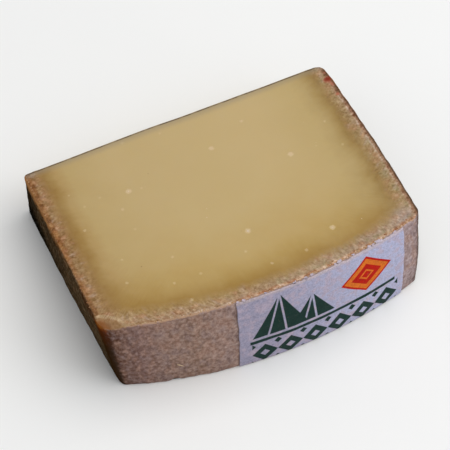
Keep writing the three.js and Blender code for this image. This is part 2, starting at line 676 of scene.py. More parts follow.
class ShaderBuilder(TreeBuilder):
    """Builds one material from the object's own coordinates and the mesh's named values.

    Attributes:
        material: the material that is being built.
    """

    def __init__(self, name: str) -> None:
        """Starts an empty material.

        Args:
            name: the material's name.
        """
        self.material = bpy.data.materials.new(name)
        self.material.use_nodes = True
        super().__init__(self.material.node_tree)
        self.tree.nodes.clear()

    def place(self) -> Signal:
        """Places on the piece in millimetres."""
        return self.scale(self.out("ShaderNodeTexCoord", output="Object"), 1.0 / MM)

    def stretched(self, place: Signal, factors: tuple[float, float, float]) -> Signal:
        """Places multiplied by one factor for each axis."""
        return self.out("ShaderNodeVectorMath", {0: place, 1: factors}, operation="MULTIPLY")

    def named(self, name: str, output: str = "Fac") -> Signal:
        """A number, or with the output Vector a vector, that the mesh holds for each point."""
        return self.out("ShaderNodeAttribute", output=output, attribute_name=name)

    def axes(self, vector: Signal) -> tuple[Signal, Signal, Signal]:
        """The three parts of a vector."""
        parts = self.add("ShaderNodeSeparateXYZ", {0: vector}).outputs
        return Signal(self, parts[0]), Signal(self, parts[1]), Signal(self, parts[2])

    def cells(self, place: Signal, size: float) -> tuple[Signal, Signal]:
        """Fills space with uneven cells.

        Args:
            place: places in millimetres.
            size: distance from one cell to the next, in millimetres.

        Returns:
            The distance from a cell's middle, as a share of that size, and a random number for each cell.
        """
        inputs = {"Vector": place, "Scale": 1.0 / size, "Randomness": 1.0}
        node = self.add("ShaderNodeTexVoronoi", inputs, feature="F1")
        draw = self.out("ShaderNodeSeparateColor", {0: Signal(self, node.outputs["Color"])})
        return Signal(self, node.outputs["Distance"]), draw

    def scaled(self, colour: Any, factor: Signal) -> Signal:
        """A colour made darker or lighter by a factor."""
        return self.scale(colour.linear()[:3] if isinstance(colour, Tone) else colour, factor)

    def lifted(self, colour: Any, step: Signal) -> Signal:
        """Lightens or darkens a colour by the same step in each channel, on a scale that looks even.

        Args:
            colour: the colour.
            step: how much lighter it gets, where one is the way from black to white.

        Returns:
            The new colour.
        """
        even = self.out("ShaderNodeGamma", {0: colour, 1: 1.0 / SCREEN_GAMMA})
        moved = self.out("ShaderNodeVectorMath", {0: even, 1: step}, operation="ADD")
        return self.out("ShaderNodeGamma", {0: moved, 1: SCREEN_GAMMA})

    def mix(self, share: Any, first: Any, second: Any) -> Signal:
        """Blends from the first colour to the second by a share."""
        return self.out("ShaderNodeMix", {0: share, 6: first, 7: second}, 2, data_type="RGBA")

    def ramp(self, value: Signal, given: Stops) -> Signal:
        """Colours a number by named stops.

        Args:
            value: the number.
            given: numbers in rising order, each with its colour.

        Returns:
            The colour.
        """
        span = given[-1][0]
        node = self.add("ShaderNodeValToRGB", {0: self.math("DIVIDE", value, span, clamp=True)})
        elements = node.color_ramp.elements
        elements[0].position, elements[1].position = 0.0, 1.0
        elements[0].color, elements[-1].color = given[0][1].linear(), given[-1][1].linear()
        for position, tone in given[1:-1]:
            elements.new(position / span).color = tone.linear()
        return Signal(self, node.outputs[0])

    def specks(self, place: Signal, cell: float, radius: float, share: float) -> Signal:
        """Scatters round specks.

        Args:
            place: places in millimetres.
            cell: distance from one speck to the next, in millimetres.
            radius: largest radius of a speck, in millimetres.
            share: share of the cells that hold a speck.

        Returns:
            One inside a speck, none outside.
        """
        distance, draw = self.cells(place, cell)
        size = draw.ease(1.0 - share, 1.0, 0.0, radius / cell)
        spot = distance.ease(size * 0.5, size, 1.0, 0.0, "LINEAR")
        return spot * self.math("GREATER_THAN", draw, 1.0 - share)

    def bump(self, height: Signal) -> Signal:
        """A surface normal from heights in millimetres."""
        return self.out("ShaderNodeBump", {"Height": height, "Distance": MM, "Strength": 1.0})

    def finish(self, **inputs: Any) -> bpy.types.Material:
        """Closes the material with one principled shader.

        Args:
            inputs: the shader's inputs, with underscores for the spaces in their names.

        Returns:
            The finished material.
        """
        named = {key.replace("_", " "): value for key, value in inputs.items()}
        self.add("ShaderNodeOutputMaterial", {"Surface": self.out("ShaderNodeBsdfPrincipled", named)})
        return self.material


# Finishes

@dataclass(frozen=True)
class CutPlace:
    """Where a shaded point of a cut face lies, in millimetres.

    Attributes:
        form: the wedge.
        tree: the material that is being built.
        place: its place on the piece.
        across: the same from the middle to the right.
        along: the same from the middle to the back.
        way: its way along the rind.
        depth: its depth below the rind.
        heel: one near the heel, none near a flat side.
    """

    form: WedgeForm
    tree: ShaderBuilder
    place: Signal
    across: Signal
    along: Signal
    way: Signal
    depth: Signal
    heel: Signal

    @classmethod
    def read(cls, form: WedgeForm, tree: ShaderBuilder) -> CutPlace:
        """Reads it from the mesh, for one material."""
        place = tree.place()
        return cls(form, tree, place, *tree.axes(place)[:2], *tree.axes(tree.named("rind_place", "Vector")))

    def spots(self, spots: tuple[Spot, ...], wander: Any = 0.0) -> Signal:
        """One inside round spots on the upper cut, easing to none at their rims.

        Args:
            spots: place across, place along and radius of each spot.
            wander: distance by which the outlines stray.

        Returns:
            The spots' share.
        """
        total: Any = 0.0
        for x, y, radius in spots:
            spot = (x - self.form.middle[0], y - self.form.middle[1], self.form.thickness(y))
            inputs = {0: self.place, 1: spot}
            away = self.tree.out("ShaderNodeVectorMath", inputs, "Value", operation="DISTANCE")
            total = self.tree.math("MAXIMUM", total, (away + wander).ease(radius, radius * 0.2))
        return total


@dataclass(frozen=True)
class PasteFinish:
    """The cut faces: ivory paste, a golden-brown zone towards the rind and a grainy band beneath the crust.

    Attributes:
        left, right, heel: colours by depth below the left rind, the right rind and the heel.
        band: depth of the grainy band below the two flat sides, and below the heel.
        cool: greyer tone that the band takes on towards the right.
        blush, lilac, mould: pinkish, pale lilac and grey-green grains of the band.
        rim_left, rim_right: dark, middle and pale tones of the crust's edge along the flat sides.
        rim_heel, rim_label, rim_front: the same along the heel, behind the label and at the left end.
        crust, crust_and_shade_line: the crust that swells out along the right rind, and its dark outermost
            line, partly painted shade.
        shaded: dark line at the front of the left rim.
        bloom, bloom_spots: mauve bloom at the right heel corner.
        crease: pale line where the chip breaks off.
        facet, facet_left, facet_low: the chipped facet, its greyer left end and its darker foot.
        burnt: the facet at the very corner.
        stain, stain_spots: red ink that has soaked into the crust.
        stain_halo, halo_spots: paler red round the ink, by the depth below the rind.
        back_haze, back_shade_line: greyer tone near the back edge, and a thin dark line of painted shade along
            it.
        cloud: paler tone of the paste's slow clouds.
        fleck, faint_spots: pale tone round the crystals, and faint spots of it alone.
        glint: fine pale glints.
        hole, holes: painted shade of the pinholes, and where they lie.
    """

    left: Stops = stops(
        (0.0, 134, 94, 54), (1.2, 140, 101, 63), (2.8, 146, 112, 75), (4.4, 147, 112, 65),
        (6.0, 149, 115, 60), (7.4, 159, 127, 71), (9.1, 174, 144, 91), (12.5, 184, 158, 106),
        (25.0, 191, 166, 117),
    )
    right: Stops = stops(
        (0.0, 162, 130, 100), (1.6, 157, 130, 98), (3.0, 152, 124, 85), (4.5, 149, 119, 71),
        (5.6, 151, 122, 69), (7.5, 167, 140, 87), (9.7, 178, 153, 102), (13.0, 187, 162, 110),
        (25.0, 194, 169, 120),
    )
    heel: Stops = stops(
        (0.0, 172, 142, 116), (1.5, 165, 135, 104), (3.2, 161, 132, 96), (4.8, 157, 126, 76),
        (6.4, 157, 123, 62), (8.5, 167, 135, 73), (11.0, 177, 147, 86), (14.5, 185, 156, 98),
        (26.0, 192, 167, 116),
    )
    band: tuple[float, float] = (3.8, 4.4)
    cool: Tone = Tone(156, 140, 134)
    blush: Tone = Tone(174, 126, 94)
    lilac: Tone = Tone(170, 143, 126)
    mould: Tone = Tone(144, 134, 98)
    rim_left: Stops = stops((0.0, 124, 76, 38), (0.5, 143, 91, 48), (1.0, 162, 116, 72))
    rim_right: Stops = stops((0.0, 128, 84, 62), (0.5, 164, 126, 98), (1.0, 206, 184, 168))
    rim_heel: Stops = stops((0.0, 138, 104, 78), (0.5, 168, 142, 118), (1.0, 198, 174, 156))
    rim_label: Stops = stops((0.0, 150, 88, 50), (0.5, 184, 130, 94), (1.0, 212, 180, 156))
    rim_front: Stops = stops((0.0, 132, 92, 58), (0.5, 152, 118, 82), (1.0, 172, 144, 112))
    crust: Stops = stops((0.0, 118, 74, 50), (1.0, 152, 116, 92))
    crust_and_shade_line: Tone = Tone(84, 52, 38)
    shaded: Tone = Tone(48, 26, 10)
    bloom: Tone = Tone(164, 143, 128)
    bloom_spots: tuple[Spot, ...] = ((51.6, 0.4, 7.6),)
    crease: Tone = Tone(178, 152, 118)
    facet: Tone = Tone(142, 109, 68)
    facet_left: Tone = Tone(147, 111, 75)
    facet_low: Tone = Tone(127, 89, 57)
    burnt: Tone = Tone(124, 66, 18)
    stain: Tone = Tone(126, 0, 0)
    stain_halo: Stops = stops((0.1, 84, 40, 30), (0.55, 176, 92, 72))
    stain_spots: tuple[Spot, ...] = ((54.3, 67.3, 1.45), (55.4, 68.0, 0.6))
    halo_spots: tuple[Spot, ...] = (
        (54.2, 67.0, 2.3), (55.2, 64.8, 1.6), (54.4, 59.6, 1.0), (54.9, 70.6, 0.8),
    )
    back_haze: Tone = Tone(148, 135, 116)
    back_shade_line: Tone = Tone(72, 56, 38)
    cloud: Tone = Tone(200, 178, 134)
    fleck: Tone = Tone(216, 192, 154)
    faint_spots: tuple[Spot, ...] = (
        (-7.0, 69.5, 0.9), (46.0, 38.0, 0.9), (-21.5, 49.5, 0.8), (-35.5, 51.5, 0.8),
        (-41.5, 50.0, 0.8), (-30.0, 34.0, 0.9), (-20.0, 71.0, 1.2),
    )
    glint: Tone = Tone(214, 194, 152)
    hole: Tone = Tone(116, 88, 46)
    holes: tuple[Spot, ...] = ((-33.9, 18.7, 0.34), (-17.3, 54.4, 0.28), (0.6, 18.4, 0.2))

    def build(self, form: WedgeForm) -> bpy.types.Material:
        """Builds the material.

        Args:
            form: the wedge, for places on it.

        Returns:
            The material.
        """
        tree = ShaderBuilder("cut_paste")
        at = CutPlace.read(form, tree)
        waves = tree.noise(at.place, 8.0).spread(2.6)
        across_rind = tree.out("ShaderNodeCombineXYZ", {0: at.way, 1: at.depth * 0.6})
        wisps = tree.noise(across_rind, 1.6).spread(1.6)
        warped = at.depth + (waves + wisps) * at.depth.ease(0.5, 4.0)

        to_right = at.across.ease(-20.0, 20.0)
        side_tone = tree.mix(to_right, tree.ramp(warped, self.left), tree.ramp(warped, self.right))
        colour = tree.mix(at.heel, side_tone, tree.ramp(warped, self.heel))
        colour = tree.mix(at.spots(self.bloom_spots, waves), colour, self.bloom)
        beyond = warped - at.heel.blend(*self.band)
        band = beyond.ease(2.2, -1.8)
        colour = tree.mix(at.across.ease(-24.0, 44.0, 0.0, 0.36) * band * at.heel, colour, self.cool)
        colour, grain, fine = self._grained(at, colour, beyond, band)
        colour = self._rimmed(at, colour, fine)
        colour = self._chipped(at, colour, fine)
        wander = tree.noise(at.place, 1.2).spread(0.9)
        halo = at.spots(self.halo_spots, wander) * 0.8
        colour = tree.mix(halo, colour, tree.ramp(at.depth, self.stain_halo))
        stained = at.spots(self.stain_spots, wander) ** 0.35
        colour = tree.mix(stained, colour, self.stain)
        colour = self._flecked(at, colour)
        colour = self._backed(at, colour)

        smear = tree.noise(tree.stretched(at.place, (0.05, 1.0, 1.0)), 1.6, 3.0)
        height = grain * band * 0.07 + tree.noise(at.place, 0.55) * 0.012 + smear * 0.02
        return tree.finish(
            Base_Color=colour,
            Roughness=warped.ease(5.0, 12.0, 0.7, 0.5),
            Normal=tree.bump(height),
            Subsurface_Weight=band.blend(0.28, 0.06),
            Subsurface_Radius=(1.0, 0.66, 0.3),
            Subsurface_Scale=0.0014,
            Specular_IOR_Level=band.blend(0.25, 0.12) * stained.ease(1.0, 0.0),
        )

    def _grained(
        self, at: CutPlace, colour: Signal, beyond: Signal, band: Signal
    ) -> tuple[Signal, Signal, Signal]:
        """Lays the band's slanting fibres and its tinted grains over a colour.

        Args:
            at: where the shaded point lies.
            colour: the colour so far.
            beyond: how far it lies past the band's inner border, less than none in the band.
            band: one in the band, none beyond it.

        Returns:
            The colour with the grains, their height, and their light and dark as a step.
        """
        tree, depth = at.tree, at.depth
        slanted = tree.out("ShaderNodeCombineXYZ", {0: at.way + depth * 0.45, 1: depth * 0.5})
        grain = tree.noise(slanted, 0.9, 2.5, 0.6) + tree.noise(at.place, 0.85, 2.5, 0.6)
        soft = tree.noise(at.place, 1.9, 3.0, 0.6).spread(0.85) * (beyond + at.heel).ease(4.4, -1.4)
        step = (grain.spread(1.45, 1.0) * band + soft) * 0.25
        hue = tree.noise(at.place, 3.2, 1.5, 0.5)
        other = tree.noise(tree.stretched(slanted, (-1.0, 1.3, 1.0)), 2.6, 1.5, 0.5)
        mouldy = at.across.ease(-34.0, 26.0, 0.12, 0.5)
        for noise, low, high, most, tone in (
            (hue, 0.52, 0.68, 0.5, self.blush),
            (hue, 0.45, 0.31, mouldy, self.mould),
            (other, 0.53, 0.68, 0.5, self.lilac),
        ):
            colour = tree.mix(noise.ease(low, high, 0.0, most) * band, colour, tone)
        return tree.lifted(colour, step), grain, step

    def _rimmed(self, at: CutPlace, colour: Signal, fine: Signal) -> Signal:
        """Draws the crust's thin edge round the cut, with painted shade in parts of it, over a colour.

        Args:
            at: where the shaded point lies.
            colour: the colour so far.
            fine: light and dark of the band's grains, as a step.

        Returns:
            The colour with the crust's edge.
        """
        tree, across, along, depth = at.tree, at.across, at.along, at.depth
        ripple = tree.noise(at.place, 1.3, 2.5, 0.5)
        patch = tree.noise(at.place, 2.2, 1.5, 0.5).ease(0.34, 0.66)
        rough = depth + ripple.spread(1.4)
        on_right = tree.math("GREATER_THAN", across, 0.0)
        dim = along.ease(-20.0, -11.0, 0.78, 1.0) * along.ease(12.0, 20.0, 1.0, 0.84)
        left = tree.scaled(tree.ramp(patch, self.rim_left), dim)
        side = tree.mix(on_right, left, tree.ramp(patch, self.rim_right))
        label = across.ease(-18.0, -6.0)
        front = tree.mix(label, tree.ramp(patch, self.rim_heel), tree.ramp(patch, self.rim_label))
        front = tree.mix(across.ease(-24.0, -44.0), front, tree.ramp(patch, self.rim_front))
        left_share = along.ease(4.0, 16.0, 0.6, 0.95).larger(along.ease(-12.0, -19.0, 0.0, 0.8))
        side_share = rough.ease(1.9, 1.0) * on_right.blend(left_share, 0.6)
        share = at.heel.blend(side_share, rough.ease(1.9, 0.6) * label.blend(0.85, 0.8))
        colour = tree.mix(share, colour, tree.lifted(tree.mix(at.heel, side, front), fine))

        on_side = 1.0 - at.heel
        shaded = depth.ease(0.55, 0.15) * along.ease(5.0, -7.0, 0.0, 0.55) * on_side * (1.0 - on_right)
        colour = tree.mix(shaded, colour, self.shaded)
        # The outermost dark line along the right rim is partly the crust's tone and partly painted shade.
        dark = (depth - (ripple.spread(2.0) + 1.1)).ease(0.25, -0.25) * on_right
        crust = tree.mix(depth.ease(0.3, 0.55), self.crust_and_shade_line, tree.ramp(patch, self.crust))
        return tree.mix(dark * on_side, colour, tree.lifted(crust, fine))

    def _chipped(self, at: CutPlace, colour: Signal, fine: Signal) -> Signal:
        """Colours the chipped corner and its crease.

        Args:
            at: where the shaded point lies.
            colour: the colour so far.
            fine: light and dark of the band's grains, as a step.

        Returns:
            The colour with the chip.
        """
        tree = at.tree
        ripple = tree.noise(at.place, 1.6, 3.0)
        chip = tree.named("chip_reach") + ripple.spread(1.2)
        facet = tree.mix(at.across.ease(-50.0, -46.5), self.facet_left, self.facet)
        facet = tree.lifted(tree.mix(chip.ease(0.8, 3.0), facet, self.facet_low), fine * 0.5)
        colour = tree.mix(chip.ease(0.1, 0.9, 0.0, 0.95), colour, facet)
        streak = tree.noise(tree.stretched(at.place, (1.0, 0.25, 1.0)), 1.4)
        corner = at.across + (streak.spread(3.0) + chip * -0.6)
        colour = tree.mix(corner.ease(-53.2, -55.2) * chip.ease(0.2, 2.2, 0.0, 0.9), colour, self.burnt)
        crease = chip.ease(-1.0, -0.4) * chip.ease(0.5, 0.1) * ripple.ease(0.35, 0.6, 0.4, 0.8)
        return tree.mix(crease, colour, tree.lifted(self.crease, fine))

    def _flecked(self, at: CutPlace, colour: Signal) -> Signal:
        """Adds slow clouds, soft halos round the crystals, fine pale glints and the pinholes' painted shade.

        Args:
            at: where the shaded point lies.
            colour: the colour so far.

        Returns:
            The colour with the flecks.
        """
        tree = at.tree
        colour = tree.mix(tree.noise(at.place, 16.0, 3.0).ease(0.3, 0.7, 0.0, 0.12), colour, self.cloud)
        around = tree.noise(at.place, 0.7).spread(1.0)
        large = tuple(spot for spot in CRYSTAL_SPOTS if spot[2] > 0.85)
        small = tuple(spot for spot in CRYSTAL_SPOTS if spot[2] <= 0.85)
        for spots, wider, most in ((large, 0.4, 0.65), (small, 0.2, 0.4), (self.faint_spots, 0.0, 0.28)):
            colour = tree.mix(at.spots(spots, around - wider) ** 2.0 * most, colour, self.fleck)
        colour = tree.mix(tree.specks(at.place, 7.5, 0.5, 0.4) * 0.3, colour, self.glint)
        # Painted shade: pinholes as dark dots.
        return tree.mix(at.spots(self.holes) * 0.6, colour, self.hole)

    def _backed(self, at: CutPlace, colour: Signal) -> Signal:
        """Greys the cut towards its back edge and paints a thin broken line of shade there.

        Args:
            at: where the shaded point lies.
            colour: the colour so far.

        Returns:
            The colour with the back edge.
        """
        tree, back_way = at.tree, at.tree.named("back_way")
        colour = tree.mix(back_way.ease(3.4, 0.4, 0.0, 0.5), colour, self.back_haze)
        broken = tree.noise(at.place, 2.5, 3.0).ease(0.35, 0.6, 0.45, 1.0)
        # Painted shade: a thin dark line along the back edge.
        return tree.mix(back_way.ease(0.65, 0.2, 0.0, 0.85) * broken, colour, self.back_shade_line)


@dataclass(frozen=True)
class RindPlace:
    """Where a shaded point of the rind lies, in millimetres, and the clumps that it is part of.

    Attributes:
        tree: the material that is being built.
        place: its place on the piece.
        across: the same from the middle to the right.
        along: the same from the middle to the back.
        up: the same from the table up.
        heel: one on the heel, none on the flat sides.
        rim: how far it lies below the cut.
        on_left: one on the left half of the wedge.
        clump: noise of the rind's clumps.
    """

    tree: ShaderBuilder
    place: Signal
    across: Signal
    along: Signal
    up: Signal
    heel: Signal
    rim: Signal
    on_left: Signal
    clump: Signal

    @classmethod
    def read(cls, tree: ShaderBuilder) -> RindPlace:
        """Reads it from the mesh.

        Args:
            tree: the material that is being built.

        Returns:
            Where the shaded point lies.
        """
        place = tree.place()
        axes = tree.axes(place)
        heel, rim = tree.named("heel_share"), tree.named("rim_drop")
        return cls(tree, place, *axes, heel, rim, axes[0].ease(10.0, -10.0), tree.noise(place, 2.4, 3.0, 0.6))


@dataclass(frozen=True)
class RindFinish:
    """The rind: a grainy mauve-brown heel, darker flat sides and a burnt left corner, both partly painted
    shade, and a pale broken rim.

    Attributes:
        heel: colours of the heel by the distance from its left end, darker towards that end (partly painted
            shade) and with painted shade along the right end's edge.
        heel_end: place across of that left end.
        heel_warm, heel_grey: warmer and greyer grains of the heel.
        side, side_spot: plain tone and reddish spots of the flat sides; the plain tone's darkness is partly
            painted shade.
        side_rim: brown glow of the flat sides beneath the cut.
        side_warm: darker brown of the left side's front beneath the cut.
        side_foot_shade: painted shade of the left side near the table, towards the back.
        corner: tones of the left heel corner by the drop below the cut: burnt orange beneath the cut, darkening
            downwards partly as painted shade.
        rim, side_edge: broken rim beside the cut, of the heel and of the flat sides.
        pit: tone of the small pits.
    """

    # Darker towards the left end: partly the rind's own tone, partly painted shade; the last two stops paint
    # shade along the right corner's edge.
    heel: Stops = stops(
        (0.0, 68, 40, 24), (2.6, 102, 73, 60), (6.0, 121, 94, 85), (10.0, 135, 107, 99),
        (18.0, 148, 121, 109), (28.0, 149, 122, 108), (35.0, 156, 129, 118), (40.0, 160, 135, 126),
        (104.5, 166, 145, 143), (106.4, 156, 135, 132), (108.0, 112, 94, 90),
    )
    heel_end: float = -54.3
    heel_warm: Tone = Tone(162, 128, 112)
    heel_grey: Tone = Tone(134, 112, 108)
    # The flat sides' dark brown: partly the rind's own tone, partly painted shade.
    side: Tone = Tone(76, 60, 41)
    side_spot: Tone = Tone(88, 54, 34)
    side_rim: Tone = Tone(150, 102, 60)
    side_warm: Tone = Tone(76, 44, 22)
    side_foot_shade: Tone = Tone(24, 21, 15)
    corner: Stops = stops((0.0, 140, 82, 28), (1.2, 116, 56, 16), (2.8, 78, 36, 12), (12.0, 48, 28, 9))
    rim: Tone = Tone(192, 156, 126)
    side_edge: Tone = Tone(172, 122, 76)
    pit: Tone = Tone(70, 50, 42)

    def build(self) -> bpy.types.Material:
        """Builds the material.

        Returns:
            The material.
        """
        tree = ShaderBuilder("pressed_rind")
        at = RindPlace.read(tree)
        grain = tree.noise(tree.stretched(at.place, (1.0, 1.0, 0.8)), 1.15, 2.5, 0.58)
        distance, shade = tree.cells(at.place, 0.8)
        grit = distance.ease(0.62, 0.1)
        lumps = (grain + at.clump * 0.1).spread(1.0, 0.55)
        calm = at.heel.blend(at.on_left.blend(0.6, 1.0), 1.0)
        step = (lumps * 0.46 + shade.spread(0.04)) * calm
        colour = tree.lifted(tree.mix(at.heel, self._side_tone(at), self._heel_tone(at)), step)
        colour = self._burnt_and_shaded(at, colour)
        colour = self._edged(at, colour, lumps)
        pits = tree.specks(at.place, 2.6, 0.45, 0.4)
        colour = tree.mix(pits * 0.2, colour, self.pit)
        return tree.finish(
            Base_Color=colour,
            Roughness=grain.ease(0.3, 0.7, 0.9, 0.76),
            Normal=tree.bump(grain * 0.2 + grit * 0.08 + at.clump * 0.06 - pits * 0.1),
            Subsurface_Weight=0.03,
            Subsurface_Radius=(1.0, 0.5, 0.25),
            Subsurface_Scale=0.0006,
            Specular_IOR_Level=at.heel.blend(0.0, 0.05),
        )

    def _heel_tone(self, at: RindPlace) -> Signal:
        """The heel's colour, with warmer and greyer grains and a slightly darker foot of painted shade.

        Args:
            at: where the shaded point lies.

        Returns:
            The colour.
        """
        tree = at.tree
        tone = tree.ramp(at.across - self.heel_end, self.heel)
        tint = tree.noise(tree.stretched(at.place, (1.0, 1.0, 0.5)), 2.6, 2.0, 0.5)
        tone = tree.mix(tint.ease(0.5, 0.64, 0.0, 0.5), tone, self.heel_warm)
        tone = tree.mix(tint.ease(0.48, 0.36, 0.0, 0.5), tone, self.heel_grey)
        # Painted shade: the heel darkens towards the table.
        return tree.scaled(tone, at.up.ease(1.0, 13.0, 0.9, 1.0))

    def _side_tone(self, at: RindPlace) -> Signal:
        """The flat sides' colour, browner beneath the cut, with painted shade at the left side's foot and
        towards the back.

        Args:
            at: where the shaded point lies.

        Returns:
            The colour.
        """
        tree, along, rim = at.tree, at.along, at.rim
        tone = tree.mix(tree.noise(at.place, 3.0, 3.0).ease(0.56, 0.72, 0.0, 0.5), self.side, self.side_spot)
        # Painted shade: the left side darkens near the table towards the back.
        foot = at.up.ease(13.0, 4.0) * along.ease(5.0, 34.0, 0.0, 0.95) * at.on_left
        tone = tree.mix(foot, tone, self.side_foot_shade)
        tone = tree.scaled(tone, tree.noise(at.place, 4.5, 3.0).spread(1.6) + 1.0)
        glow = rim.ease(5.4, 1.2) * along.ease(-8.0, 26.0) * at.clump.ease(0.3, 0.55)
        tone = tree.mix(glow, tone, self.side_rim)
        tone = tree.mix(rim.ease(7.0, 3.0) * along.ease(-6.0, -16.0, 0.0, 0.6), tone, self.side_warm)
        # Darker towards the front end; darker towards the back as painted shade, the most on the left side
        # further below the cut.
        dim = along.ease(-30.0, -22.0, 0.75, 1.0) * along.ease(0.0, 12.0, 1.0, 0.8)
        back_shade = along.ease(26.0, 36.0) * rim.ease(2.0, 7.0) * at.on_left
        return tree.scaled(tone, dim * back_shade.blend(1.0, 0.45))

    def _burnt_and_shaded(self, at: RindPlace, colour: Signal) -> Signal:
        """Darkens the left heel corner, partly as painted shade, and glows it orange just beneath the cut.

        Args:
            at: where the shaded point lies.
            colour: the colour so far.

        Returns:
            The colour with the corner.
        """
        wander = at.clump.spread(4.0)
        way_round = at.tree.named("left_corner") + wander
        near = way_round.ease(-8.0, -2.0) * way_round.ease(2.4, 0.4)
        # The corner's darkening further below the cut is partly the rind's burnt tone and partly painted shade.
        return at.tree.mix(near * 0.94, colour, at.tree.ramp(at.rim + wander, self.corner))

    def _edged(self, at: RindPlace, colour: Signal, lumps: Signal) -> Signal:
        """Lays the pale broken rim beside the cut over a colour.

        Args:
            at: where the shaded point lies.
            colour: the colour so far.
            lumps: height of the rind's grains, round none.

        Returns:
            The colour with the rim.
        """
        tree, along, heel = at.tree, at.along, at.heel
        at_chip = at.across.ease(-38.0, -46.0)
        reach = at.across.ease(-14.0, -30.0, 0.35, 0.75) * at_chip.blend(heel, 0.35)
        reach = reach + along.ease(-2.0, 26.0, 0.2, 1.3) * (1.0 - heel)
        side_share = along.ease(-6.0, 30.0, 0.0, 0.75) * at.on_left
        share = heel.blend(side_share, at_chip.blend(0.75, 0.55))
        beneath = at.rim + lumps * 2.4 - reach
        return tree.mix(beneath.ease(0.1, -0.4) * share, colour, tree.mix(heel, self.side_edge, self.rim))


